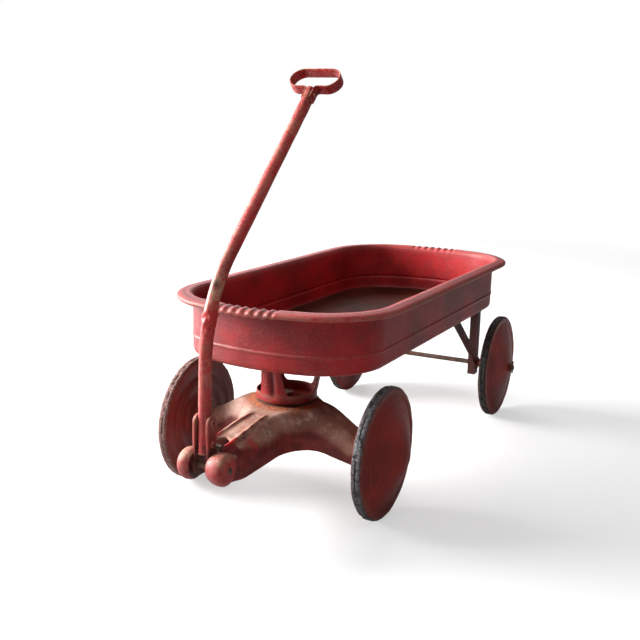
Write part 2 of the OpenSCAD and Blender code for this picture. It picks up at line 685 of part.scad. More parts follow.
// Flat side strap with a round eye on the hinge pin.
module handle_strap() {
    difference() {
        union() {
            translate([tube_r, -strap_w / 2, 0]) cube([strap_t, strap_w, strap_top - strap_w / 2]);
            translate([tube_r, 0, strap_top - strap_w / 2]) rotate([0, 90, 0]) cylinder(r = strap_w / 2, h = strap_t);
            translate([tube_r, 0, 0]) rotate([0, 90, 0]) cylinder(r = strap_eye_r, h = strap_t);
        }
        translate([tube_r - 1, 0, 0]) rotate([0, 90, 0]) cylinder(r = pin_r + pivot_gap, h = strap_t + 2);
        for (h = strap_rivet_h) translate([tube_r - 1, 0, h]) rotate([0, 90, 0]) cylinder(r = rivet_r, h = strap_t + 2);
    }
}
module handle_strap_right() {
    color(paint) along_lower() handle_strap();
}
module handle_strap_left() {
    color(paint) along_lower() mirror([1, 0, 0]) handle_strap();
}

strap_rivet_h = [32, 62];
strap_rivet_span = 2 * (tube_r + strap_t);
module strap_rivets() {
    color(dark_paint) along_lower() for (h = strap_rivet_h) translate([-strap_rivet_span / 2, 0, h]) rotate([0, 90, 0]) rivet(strap_rivet_span);
}

grip_band = 17;
grip_t = 2.2;
grip_rivet_h = 17;
tab_h = 24;
grip_low = up_len + 4 + flat_len + 0.5;
// Stadium of width w and depth h.
module stadium(w, h) {
    square([w - h, h], center = true);
    for (s = [-1, 1]) translate([s * (w - h) / 2, 0]) circle(d = h);
}

// One strap bent into a flat loop whose two ends turn down either side of the flattened tube.
module grip_loop() {
    color(paint) difference() {
        along_upper() union() {
            translate([0, grip_band / 2, grip_low + grip_h / 2]) rotate([90, 0, 0]) linear_extrude(grip_band) difference() {
                stadium(grip_w, grip_h);
                stadium(grip_w - 2 * grip_t, grip_h - 2 * grip_t);
            }
            for (s = [0, 1]) mirror([s, 0, 0])
                translate([flat_t / 2, -grip_band / 2, grip_low - tab_h]) cube([grip_t, grip_band, tab_h + grip_t / 2]);
        }
        along_upper() translate([0, 0, up_len + grip_rivet_h]) rotate([0, 90, 0]) cylinder(r = rivet_r, h = tube_d, center = true);
    }
}
grip_rivet_span = flat_t + 2 * grip_t;
module grip_rivet() {
    color(dark_paint) along_upper() translate([-grip_rivet_span / 2, 0, up_len + grip_rivet_h]) rotate([0, 90, 0]) rivet(grip_rivet_span);
}

// ---------------------------------------------------------------- drawing
tub();
front_bolster();
bolster_rivets();
thrust_washer();
king_pin();
king_pin_nut();
rear_axle();
rear_bracket_left();
rear_bracket_right();
rear_brace_left();
rear_brace_right();
rear_rivets();
rear_spacers();
rear_axle_cap();
rear_right_washer();
rear_right_nail();
yoke_shell();
knuckle_left();
knuckle_right();
turntable_plate();
front_axle();
axle_tube();
front_axle_caps();
front_washers();
hinge_pin();
slot_stop();
handle_tube();
handle_strap_left();
handle_strap_right();
strap_rivets();
grip_loop();
grip_rivet();
wheel_outer_disc(-1, 0, 0);  // front_left_outer_disc
wheel_inner_disc(-1, 0);  // front_left_inner_disc
wheel_tyre(-1, 0);  // front_left_tyre
wheel_hub(-1, 0);  // front_left_hub
wheel_outer_disc(1, 0, 0);  // front_right_outer_disc
wheel_inner_disc(1, 0);  // front_right_inner_disc
wheel_tyre(1, 0);  // front_right_tyre
wheel_hub(1, 0);  // front_right_hub
wheel_outer_disc(-1, wheelbase, 0);  // rear_left_outer_disc
wheel_inner_disc(-1, wheelbase);  // rear_left_inner_disc
wheel_tyre(-1, wheelbase);  // rear_left_tyre
wheel_hub(-1, wheelbase);  // rear_left_hub
wheel_outer_disc(1, wheelbase, pierced_r);  // rear_right_outer_disc
wheel_inner_disc(1, wheelbase);  // rear_right_inner_disc
wheel_tyre(1, wheelbase);  // rear_right_tyre
wheel_hub(1, wheelbase);  // rear_right_hub
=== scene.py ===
import math

import bmesh
import bpy
import numpy as np
from mathutils import Matrix, Vector, noise


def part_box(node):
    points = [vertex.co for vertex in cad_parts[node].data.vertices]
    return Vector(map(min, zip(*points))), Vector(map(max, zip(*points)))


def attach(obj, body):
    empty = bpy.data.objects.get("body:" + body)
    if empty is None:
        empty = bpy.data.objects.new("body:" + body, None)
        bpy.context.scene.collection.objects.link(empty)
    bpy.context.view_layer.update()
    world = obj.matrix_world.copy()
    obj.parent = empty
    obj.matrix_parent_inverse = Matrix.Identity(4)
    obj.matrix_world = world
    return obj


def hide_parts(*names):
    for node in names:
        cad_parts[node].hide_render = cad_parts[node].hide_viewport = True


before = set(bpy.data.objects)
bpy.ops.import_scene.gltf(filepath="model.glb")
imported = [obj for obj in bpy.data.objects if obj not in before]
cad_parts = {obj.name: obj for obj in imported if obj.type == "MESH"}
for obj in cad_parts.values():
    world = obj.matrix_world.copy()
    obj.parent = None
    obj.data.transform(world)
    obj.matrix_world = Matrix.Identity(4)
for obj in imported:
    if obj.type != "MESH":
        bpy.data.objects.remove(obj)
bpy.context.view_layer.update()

# ---------------------------------------------------------------- frame
# Pieces are drawn in millimetres from the king pin's foot on the ground, and set into the row frame here.
PIN_LO, PIN_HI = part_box("king_pin")
KX, KY = (PIN_LO[0] + PIN_HI[0]) / 2, (PIN_LO[1] + PIN_HI[1]) / 2


def row(p):
    return (KX + p[0] * 0.001, KY + p[1] * 0.001, p[2] * 0.001)


def smooth(a, b, t):
    """0 below a, 1 above b, smooth between; b may be below a."""
    t = np.clip((np.asarray(t, float) - a) / (b - a), 0, 1)
    return t * t * (3 - 2 * t)


def ramp01(t):
    t = np.clip(t, 0, 1)
    return t * t * (3 - 2 * t)


def wobble(p, scale, seed=0.0, octaves=3):
    """Noise in -1..1 at each point of p (mm), with features of about scale mm."""
    out = np.empty(len(p))
    for i, q in enumerate(p):
        v = Vector((q[0] / scale + seed, q[1] / scale - seed * 0.7, q[2] / scale + seed * 1.3))
        out[i] = noise.fractal(v, 1.0, 2.0, octaves)
    return out


# ---------------------------------------------------------------- materials
class Nodes:
    """A short way to write a node tree."""

    def __init__(self, name):
        self.mat = bpy.data.materials.new(name)
        self.mat.use_nodes = True
        self.t = self.mat.node_tree
        self.t.nodes.clear()
        self.out = self.t.nodes.new("ShaderNodeOutputMaterial")
        self.bsdf = self.t.nodes.new("ShaderNodeBsdfPrincipled")
        self.t.links.new(self.bsdf.outputs[0], self.out.inputs[0])
        self.tc = self.t.nodes.new("ShaderNodeTexCoord")

    def link(self, a, b):
        self.t.links.new(a, b)

    def put(self, sock, v):
        if hasattr(v, "is_output") or hasattr(v, "links"):
            self.t.links.new(v, sock)
        else:
            sock.default_value = v

    def noise(self, scale, detail=4.0, rough=0.55, offset=(0, 0, 0), stretch=(1, 1, 1), distort=0.0):
        m = self.t.nodes.new("ShaderNodeMapping")
        m.inputs["Location"].default_value = offset
        m.inputs["Scale"].default_value = stretch
        self.link(self.tc.outputs["Object"], m.inputs["Vector"])
        n = self.t.nodes.new("ShaderNodeTexNoise")
        n.inputs["Scale"].default_value = scale
        n.inputs["Detail"].default_value = detail
        n.inputs["Roughness"].default_value = rough
        n.inputs["Distortion"].default_value = distort
        self.link(m.outputs[0], n.inputs["Vector"])
        return n.outputs["Fac"]

    def cells(self, scale, offset=(0, 0, 0), feature="DISTANCE_TO_EDGE"):
        m = self.t.nodes.new("ShaderNodeMapping")
        m.inputs["Location"].default_value = offset
        self.link(self.tc.outputs["Object"], m.inputs["Vector"])
        n = self.t.nodes.new("ShaderNodeTexVoronoi")
        n.feature = feature
        n.inputs["Scale"].default_value = scale
        self.link(m.outputs[0], n.inputs["Vector"])
        return n.outputs["Distance"]

    def attr(self, name):
        n = self.t.nodes.new("ShaderNodeAttribute")
        n.attribute_name = name
        return n.outputs["Fac"]

    def step(self, v, lo, hi):
        """Smooth step of v from 0 at lo to 1 at hi."""
        n = self.t.nodes.new("ShaderNodeMapRange")
        n.interpolation_type = "SMOOTHSTEP"
        n.inputs["From Min"].default_value = lo
        n.inputs["From Max"].default_value = hi
        self.put(n.inputs["Value"], v)
        return n.outputs["Result"]

    def span(self, v, lo, hi, a, b):
        n = self.t.nodes.new("ShaderNodeMapRange")
        n.inputs["From Min"].default_value = lo
        n.inputs["From Max"].default_value = hi
        n.inputs["To Min"].default_value = a
        n.inputs["To Max"].default_value = b
        self.put(n.inputs["Value"], v)
        return n.outputs["Result"]

    def math(self, op, a, b=0.5, clamp=False):
        n = self.t.nodes.new("ShaderNodeMath")
        n.operation = op
        n.use_clamp = clamp
        self.put(n.inputs[0], a)
        self.put(n.inputs[1], b)
        return n.outputs[0]

    def mul(self, a, b):
        return self.math("MULTIPLY", a, b)

    def add(self, a, b):
        return self.math("ADD", a, b, True)

    def top(self, v, k):
        return self.math("MAXIMUM", v, k)

    def inv(self, a):
        return self.math("SUBTRACT", 1.0, a, True)

    def mix(self, fac, a, b):
        n = self.t.nodes.new("ShaderNodeMix")
        n.data_type = "RGBA"
        self.put(n.inputs[0], fac)
        for sock, v in ((n.inputs[6], a), (n.inputs[7], b)):
            if isinstance(v, tuple) and len(v) == 3:
                v = (*v, 1.0)
            self.put(sock, v)
        return n.outputs[2]

    def up(self):
        """How far the surface looks up, from its own normal."""
        n = self.t.nodes.new("ShaderNodeSeparateXYZ")
        self.link(self.tc.outputs["Normal"], n.inputs[0])
        return n.outputs["Z"]

    def edges(self, lo, hi):
        g = self.t.nodes.new("ShaderNodeNewGeometry")
        return self.step(g.outputs["Pointiness"], lo, hi)

    def bump(self, height, strength, dist, under=None):
        n = self.t.nodes.new("ShaderNodeBump")
        n.inputs["Strength"].default_value = strength
        n.inputs["Distance"].default_value = dist
        self.put(n.inputs["Height"], height)
        if under is not None:
            self.link(under, n.inputs["Normal"])
        return n.outputs["Normal"]


def srgb(r, g, b):
    def f(c):
        c /= 255
        return c / 12.92 if c <= 0.04045 else ((c + 0.055) / 1.055) ** 2.4
    return (f(r), f(g), f(b))


def enamel(
    name, red, deep, dust_and_lit_side, primer, rust, seed, chips=0.5, dusty=0.5, rusty=0.35, rough=(0.38, 0.72),
    shine=0.3
):
    """Old sprayed enamel: mottled red, dust on what looks up, chips to primer, rust in patches and specks."""
    n = Nodes(name)
    o = (seed * 3.1, seed * 1.7, seed * 2.3)
    broad = n.noise(9, 3, 0.5, o)
    mid = n.noise(42, 6, 0.62, o)
    fine = n.noise(210, 5, 0.7, o)
    grit = n.noise(900, 3, 0.6, o)
    spots = n.noise(430, 4, 0.72, (o[2], o[0], o[1]))
    c = n.mix(n.step(broad, 0.38, 0.62), deep, red)
    c = n.mix(n.mul(n.step(mid, 0.46, 0.72), 0.6), c, deep)
    c = n.mix(n.mul(n.step(spots, 0.52, 0.64), 0.6), c, tuple(v * 0.4 for v in deep))
    # Pale scuffs and pin-head specks, thicker in some places than in others.
    scuff = n.noise(640, 3, 0.55, (o[1], o[0], o[2]))
    c = n.mix(
        n.mul(n.step(scuff, 0.56, 0.66), n.span(mid, 0.4, 0.62, 0.1, 0.62)), c,
        tuple(min(1.0, v * 1.25 + 0.02) for v in dust_and_lit_side)
    )
    # Dust film: settles on what looks up and in the fine texture. The mesh's own dust mask adds to it; on the
    # handle's lamp-facing side that part is a painted highlight.
    film = n.step(n.up(), -0.25, 0.95)
    film = n.mul(film, n.span(fine, 0.3, 0.7, 0.35, 1.0))
    film = n.mul(film, n.span(mid, 0.3, 0.7, 0.6, 1.0))
    film = n.add(n.mul(film, dusty), n.mul(n.attr("dust_and_lit_side"), n.span(fine, 0.35, 0.65, 0.4, 0.95)))
    c = n.mix(film, c, dust_and_lit_side)
    # Grime freckles.
    speck = n.step(fine, 0.62, 0.72)
    c = n.mix(n.mul(speck, 0.45), c, tuple(v * 0.35 for v in deep))
    # Wear through to primer: on edges and where the mesh says so. Along the tub's bead and on the handle's
    # lamp-facing side this pale primer is partly a painted highlight.
    edge = n.mul(n.edges(0.52, 0.58), n.step(mid, 0.38, 0.6))
    worn = n.mul(n.attr("bare"), n.step(n.add(n.mul(fine, 0.5), n.mul(mid, 0.55)), 0.42, 0.56))
    chip = n.mul(n.step(fine, 0.66, 0.69), n.step(broad, 0.5, 0.62))
    bare = n.add(n.add(n.mul(edge, chips), worn), n.mul(chip, chips))
    tan = n.mix(n.step(mid, 0.4, 0.62), primer, tuple(v * 0.62 for v in primer))
    c = n.mix(bare, c, tan)
    # Rust.
    patch = n.mul(n.step(n.noise(26, 7, 0.72, (o[1], o[2], o[0])), 0.58, 0.72), n.step(fine, 0.42, 0.6))
    patch = n.add(
        n.mul(patch, rusty),
        n.mul(n.attr("rusty"), n.step(n.add(n.mul(fine, 0.5), n.mul(mid, 0.5)), 0.4, 0.55))
    )
    deep_rust = n.mix(n.step(fine, 0.45, 0.6), rust, tuple(v * 0.3 for v in rust))
    c = n.mix(patch, c, deep_rust)
    # Painted shade where the mesh asks for it: near-black under lips, in gaps, creases, dents and holes, with
    # some grime in patches.
    c = n.mix(n.mul(n.attr("painted_shade_and_grime"), n.span(fine, 0.3, 0.7, 0.7, 1.0)), c, (0.012, 0.006, 0.005))
    # Bright clean paint where it was touched up.
    c = n.mix(n.mul(n.attr("fresh_paint_and_highlight"), n.step(mid, 0.34, 0.5)), c, (0.44, 0.012, 0.014))
    n.link(c, n.bsdf.inputs["Base Color"])
    r = n.span(n.add(n.mul(fine, 0.6), n.mul(film, 0.5)), 0.25, 0.85, rough[0], rough[1])
    r = n.math("SUBTRACT", r, n.mul(n.attr("fresh_paint_and_highlight"), 0.22))
    r = n.top(r, 0.16)
    n.link(r, n.bsdf.inputs["Roughness"])
    n.bsdf.inputs["Specular IOR Level"].default_value = shine
    h = n.add(n.mul(fine, 0.45), n.mul(grit, 0.25))
    h = n.math("SUBTRACT", h, n.mul(n.step(spots, 0.55, 0.68), 0.4))
    b1 = n.bump(h, 0.45, 0.0014)
    b2 = n.bump(n.mul(n.inv(n.add(bare, patch)), 0.5), 0.5, 0.0008, b1)
    n.link(b2, n.bsdf.inputs["Normal"])
    return n.mat


def primer_metal(name, seed):
    """Tan primer over steel, stained with rust: red paint stays where the mesh says so."""
    n = Nodes(name)
    o = (seed * 2.3, seed * 1.1, seed * 3.7)
    broad = n.noise(16, 4, 0.55, o)
    mid = n.noise(60, 6, 0.68, o)
    fine = n.noise(260, 6, 0.72, o)
    tan, pale, brown = srgb(166, 130, 114), srgb(184, 158, 144), srgb(126, 86, 71)
    c = n.mix(n.step(broad, 0.38, 0.64), brown, tan)
    c = n.mix(n.mul(n.step(mid, 0.48, 0.66), 0.7), c, pale)
    # Pink remains of the enamel in a blotchy film.
    pink = n.mul(n.step(mid, 0.44, 0.6), n.step(n.noise(30, 4, 0.6, (o[2], o[0], o[1])), 0.44, 0.62))
    c = n.mix(n.mul(pink, 0.6), c, srgb(150, 80, 72))
    # Rust blooms.
    bloom = n.mul(n.step(n.noise(34, 7, 0.75, (o[1], o[2], o[0])), 0.54, 0.66), n.step(fine, 0.38, 0.6))
    bloom = n.add(
        n.mul(bloom, 0.75),
        n.mul(n.attr("rusty"), n.step(n.add(n.mul(fine, 0.45), n.mul(mid, 0.55)), 0.36, 0.52))
    )
    rust = n.mix(n.step(fine, 0.4, 0.62), srgb(186, 98, 44), srgb(112, 52, 30))
    c = n.mix(bloom, c, rust)
    # Enamel that is left on the lower band and on the creases.
    left = n.add(n.attr("paint"), n.mul(n.step(mid, 0.6, 0.7), 0.25))
    keep = n.step(n.add(n.add(n.mul(left, 0.7), n.mul(fine, 0.2)), n.mul(mid, 0.2)), 0.34, 0.84)
    red = n.mix(n.step(mid, 0.36, 0.6), srgb(122, 42, 38), srgb(92, 30, 28))
    red = n.mix(n.mul(n.step(fine, 0.5, 0.7), 0.55), red, srgb(134, 84, 66))
    c = n.mix(n.mul(keep, n.step(n.attr("paint"), 0.02, 0.3)), c, red)
    # Bright red where the mesh asks for it: on the yoke's rib and bulge this is red enamel painted brighter
    # as a highlight.
    c = n.mix(n.mul(n.attr("fresh_paint_and_highlight"), n.step(mid, 0.32, 0.5)), c, srgb(206, 30, 30))
    # Black pits.
    pits = n.mul(n.step(n.noise(170, 3, 0.6, (o[0], o[2], o[1])), 0.66, 0.7), n.step(broad, 0.4, 0.55))
    c = n.mix(n.mul(pits, 0.85), c, (0.02, 0.014, 0.012))
    # Painted shade where the mesh asks for it: near-black under the turning pad, in creases and towards the
    # rear arm, with some grime.
    c = n.mix(n.mul(n.attr("painted_shade_and_grime"), n.span(fine, 0.3, 0.7, 0.65, 1.0)), c, (0.016, 0.010, 0.009))
    n.link(c, n.bsdf.inputs["Base Color"])
    n.link(n.span(fine, 0.3, 0.7, 0.5, 0.8), n.bsdf.inputs["Roughness"])
    n.bsdf.inputs["Specular IOR Level"].default_value = 0.35
    b = n.bump(n.add(n.mul(fine, 0.5), n.mul(mid, 0.4)), 0.45, 0.0016)
    b = n.bump(n.inv(n.add(pits, bloom)), 0.4, 0.0008, b)
    n.link(b, n.bsdf.inputs["Normal"])
    return n.mat


def iron(name, base, light, rust, seed, rough=0.62, metallic=0.35):
    """Dull rusty steel."""
    n = Nodes(name)
    o = (seed * 1.9, seed * 2.9, seed * 0.7)
    mid = n.noise(70, 6, 0.7, o)
    fine = n.noise(330, 5, 0.72, o)
    c = n.mix(n.step(mid, 0.38, 0.62), base, light)
    c = n.mix(
        n.mul(n.step(n.noise(45, 7, 0.75, (o[2], o[0], o[1])), 0.46, 0.62), n.step(fine, 0.36, 0.6)), c,
        rust
    )
    c = n.mix(n.mul(n.step(fine, 0.6, 0.72), 0.6), c, tuple(v * 0.3 for v in base))
    n.link(c, n.bsdf.inputs["Base Color"])
    n.bsdf.inputs["Metallic"].default_value = metallic
    n.link(n.span(fine, 0.3, 0.7, rough - 0.15, rough + 0.18), n.bsdf.inputs["Roughness"])
    n.link(n.bump(n.add(n.mul(fine, 0.6), n.mul(mid, 0.4)), 0.5, 0.0010), n.bsdf.inputs["Normal"])
    return n.mat


def perished(name, base, light, seed, stain):
    """Old rubber: chalky, cracked into cells, with chips and stains."""
    n = Nodes(name)
    o = (seed * 2.7, seed * 1.3, seed * 0.9)
    mid = n.noise(90, 6, 0.7, o)
    fine = n.noise(420, 6, 0.75, o)
    crack = n.step(n.cells(150, o), 0.0, 0.055)
    hair = n.step(n.cells(420, (o[1], o[2], o[0])), 0.0, 0.09)
    c = n.mix(n.step(mid, 0.36, 0.62), base, light)
    c = n.mix(n.mul(n.step(fine, 0.5, 0.68), 0.5), c, tuple(min(v * 1.5, 1) for v in light))
    c = n.mix(n.mul(n.step(n.noise(38, 5, 0.7, (o[2], o[1], o[0])), 0.5, 0.66), 0.75), c, stain)
    c = n.mix(n.mul(n.inv(crack), 0.92), c, (0.008, 0.007, 0.007))
    c = n.mix(n.mul(n.inv(hair), 0.4), c, (0.015, 0.013, 0.013))
    # Painted shade where the mesh asks for it: in the band's split and bites, and at its edges against the
    # discs.
    c = n.mix(n.attr("painted_shade_and_grime"), c, (0.006, 0.005, 0.005))
    n.link(c, n.bsdf.inputs["Base Color"])
    n.link(n.span(fine, 0.3, 0.7, 0.6, 0.92), n.bsdf.inputs["Roughness"])
    n.bsdf.inputs["Specular IOR Level"].default_value = 0.3
    b = n.bump(crack, 0.8, 0.0022)
    b = n.bump(n.add(n.mul(fine, 0.6), n.mul(hair, 0.4)), 0.7, 0.0012, b)
    n.link(b, n.bsdf.inputs["Normal"])
    return n.mat


PRIMER, RUST = srgb(178, 138, 112), srgb(150, 74, 40)
TUB = enamel(
    "tub_enamel", srgb(166, 29, 33), srgb(120, 18, 21), srgb(156, 72, 70), PRIMER, RUST, 1.0, 0.35, 0.34,
    0.22
)
# The floor's paint is a darker brown than the walls': rust, and painted shade for the inside of the tub.
FLOOR_IN_SHADED = enamel(
    "tub_floor_enamel_shaded", srgb(84, 28, 21), srgb(54, 17, 13), srgb(96, 48, 34), PRIMER, srgb(172, 82, 38),
    1.6, 0.6, 0.3, 1.1, (0.6, 0.9), 0.1
)
FRONT = enamel(
    "front_enamel", srgb(160, 36, 38), srgb(118, 24, 25), srgb(172, 98, 88), PRIMER, RUST, 2.0, 0.6, 0.4,
    0.3
)
HANDLE = enamel(
    "handle_enamel", srgb(172, 46, 46), srgb(124, 28, 28), srgb(184, 106, 94), PRIMER, RUST, 3.0, 0.75, 0.4,
    0.25, (0.34, 0.66)
)
WHEEL = enamel(
    "wheel_enamel", srgb(152, 42, 34), srgb(112, 26, 22), srgb(138, 68, 56), srgb(130, 92, 76),
    srgb(110, 56, 34), 4.0, 0.35, 0.16, 0.25, (0.42, 0.75)
)
WHEEL_L = enamel(
    "wheel_enamel_left", srgb(138, 44, 38), srgb(100, 30, 26), srgb(144, 84, 74), srgb(150, 110, 96),
    srgb(124, 66, 44), 4.7, 0.5, 0.45, 0.35, (0.45, 0.8)
)
GEAR = enamel(
    "gear_enamel", srgb(66, 20, 20), srgb(34, 12, 11), srgb(82, 46, 40), srgb(92, 60, 48),
    srgb(108, 52, 32), 5.0, 0.4, 0.3, 0.5, (0.45, 0.8)
)
YOKE = primer_metal("yoke_primer", 6.0)
STEEL = iron("rusty_steel", srgb(70, 54, 46), srgb(110, 90, 78), srgb(120, 62, 38), 7.0)
RUBBER_F = perished("rubber_front_right", srgb(74, 72, 74), srgb(120, 118, 120), 8.0, srgb(96, 70, 64))
RUBBER_L = perished("rubber_front_left", srgb(120, 84, 78), srgb(152, 116, 108), 8.6, srgb(128, 66, 58))
RUBBER_R = perished("rubber_rear", srgb(34, 31, 31), srgb(66, 62, 60), 9.0, srgb(72, 46, 36))

# ---------------------------------------------------------------- mesh helpers


def build(
    name, verts, faces, mat, body, stands_for=(), attrs=None, sharp=35.0, mods=None, groups=None,
    upward=False, inward=False
):
    """A mesh piece from vertices in mm, welded and smooth, riding on a body."""
    me = bpy.data.meshes.new(name)
    me.from_pydata([row(v) for v in verts], [], [tuple(int(i) for i in f) for f in faces])
    for key, vals in (attrs or {}).items():
        a = me.attributes.new(key, "FLOAT", "POINT")
        a.data.foreach_set("value", np.clip(np.asarray(vals, np.float32), 0, 1))
    mats = mat if isinstance(mat, (list, tuple)) else [mat]
    for m in mats:
        me.materials.append(m)
    if groups is not None:
        me.polygons.foreach_set("material_index", np.asarray(groups, np.int32))
    bm = bmesh.new()
    bm.from_mesh(me)
    bmesh.ops.remove_doubles(bm, verts=bm.verts, dist=2e-6)
    bmesh.ops.dissolve_degenerate(bm, edges=bm.edges, dist=1e-7)
    bmesh.ops.recalc_face_normals(bm, faces=bm.faces)
    if upward and sum(f.normal.z * f.calc_area() for f in bm.faces) < 0:
        bmesh.ops.reverse_faces(bm, faces=bm.faces)
    if inward:
        c = Vector(row((0, 0, 0)))
        if sum(
            (
                f.normal.x * (f.calc_center_median().x - c.x)
                + f.normal.y * (f.calc_center_median().y - c.y)
            ) * f.calc_area()
            for f in bm.faces
        ) > 0:
            bmesh.ops.reverse_faces(bm, faces=bm.faces)
    bm.to_mesh(me)
    bm.free()
    me.shade_smooth()
    me.set_sharp_from_angle(angle=math.radians(sharp))
    ob = bpy.data.objects.new(name, me)
    bpy.context.scene.collection.objects.link(ob)
    for kind, props in mods or ():
        m = ob.modifiers.new(kind.lower(), kind)
        for k, v in props.items():
            setattr(m, k, v)
    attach(ob, body)
    if stands_for:
        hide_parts(*stands_for)
    return ob


def quads(m, n, wrap_n=True, wrap_m=False):
    """Faces of m rows of n points."""
    out = []
    for j in range(m if wrap_m else m - 1):
        for i in range(n if wrap_n else n - 1):
            a, b = j * n + i, j * n + (i + 1) % n
            c, d = ((j + 1) % m) * n + (i + 1) % n, ((j + 1) % m) * n + i
            out.append((a, b, c, d))
    return out


def lathe_x(profile, cy, cz, n=96, side=1.0, bend=None):
    """Profile of (x, r) turned about an axis along X at (cy, cz). bend may move the points."""
    prof = np.asarray(profile, float)
    ang = np.linspace(0, 2 * math.pi, n, endpoint=False)
    pts = []
    for x, r in prof:
        for a in ang:
            pts.append((side * x, cy + r * math.cos(a), cz + r * math.sin(a)))
    pts = np.array(pts)
    if bend is not None:
        pts = bend(pts, ang, prof)
    return pts, quads(len(prof), n)


def bevel(width=0.5, segments=2, angle=40):
    return (
        "BEVEL",
        {
            "width": width * 0.001, "segments": segments, "limit_method": "ANGLE",
            "angle_limit": math.radians(angle), "harden_normals": False
        }
    )


def arc(cx, cy, r, a0, a1, n):
    return [
        (
            cx + r * math.cos(math.radians(a0 + (a1 - a0) * i / n)),
            cy + r * math.sin(math.radians(a0 + (a1 - a0) * i / n))
        )
        for i in range(n + 1)
    ]


def joined(parts):
    """Several (points, faces) as one."""
    pts, faces, base = [], [], 0
    for p, f in parts:
        pts.append(np.asarray(p, float))
        faces += [tuple(i + base for i in q) for q in f]
        base += len(p)
    return np.vstack(pts), faces

# ---------------------------------------------------------------- tub
TUB_LEN, TUB_W, UNDER, CORNER_R, END_R, MID_Y = 790.0, 369.0, 229.0, 133.6, 336.0, 265.0
CCX = TUB_W / 2 - CORNER_R
TURN = math.asin(CCX / (END_R - CORNER_R))
END_CY = TUB_LEN / 2 - END_R
CCY = END_CY + (END_R - CORNER_R) * math.cos(TURN)


def outline(d, corner=30, end=62, side=36):
    """Plan of the tub inset by d, as points and outward normals, once round."""
    q, qn = [], []
    for i in range(corner + 1):
        a = (math.pi / 2 - TURN) * i / corner
        q.append((CCX + (CORNER_R - d) * math.cos(a), CCY + (CORNER_R - d) * math.sin(a)))
        qn.append((math.cos(a), math.sin(a)))
    for i in range(1, end + 1):
        a = math.pi / 2 - TURN * (1 - i / end)
        q.append(((END_R - d) * math.cos(a), END_CY + (END_R - d) * math.sin(a)))
        qn.append((math.cos(a), math.sin(a)))
    q, qn = np.array(q), np.array(qn)
    rear = np.vstack([q, q[-2::-1] * [-1, 1]])
    rn = np.vstack([qn, qn[-2::-1] * [-1, 1]])
    ys = np.linspace(CCY, -CCY, side + 2)[1:-1]
    left = np.column_stack([np.full(side, -(TUB_W / 2 - d)), ys])
    right = np.column_stack([np.full(side, TUB_W / 2 - d), -ys])
    front, fn = rear * [-1, -1], rn * [-1, -1]
    pts = np.vstack([rear, left, front, right])
    nor = np.vstack([rn, np.tile([-1.0, 0.0], (side, 1)), fn, np.tile([1.0, 0.0], (side, 1))])
    return pts, nor


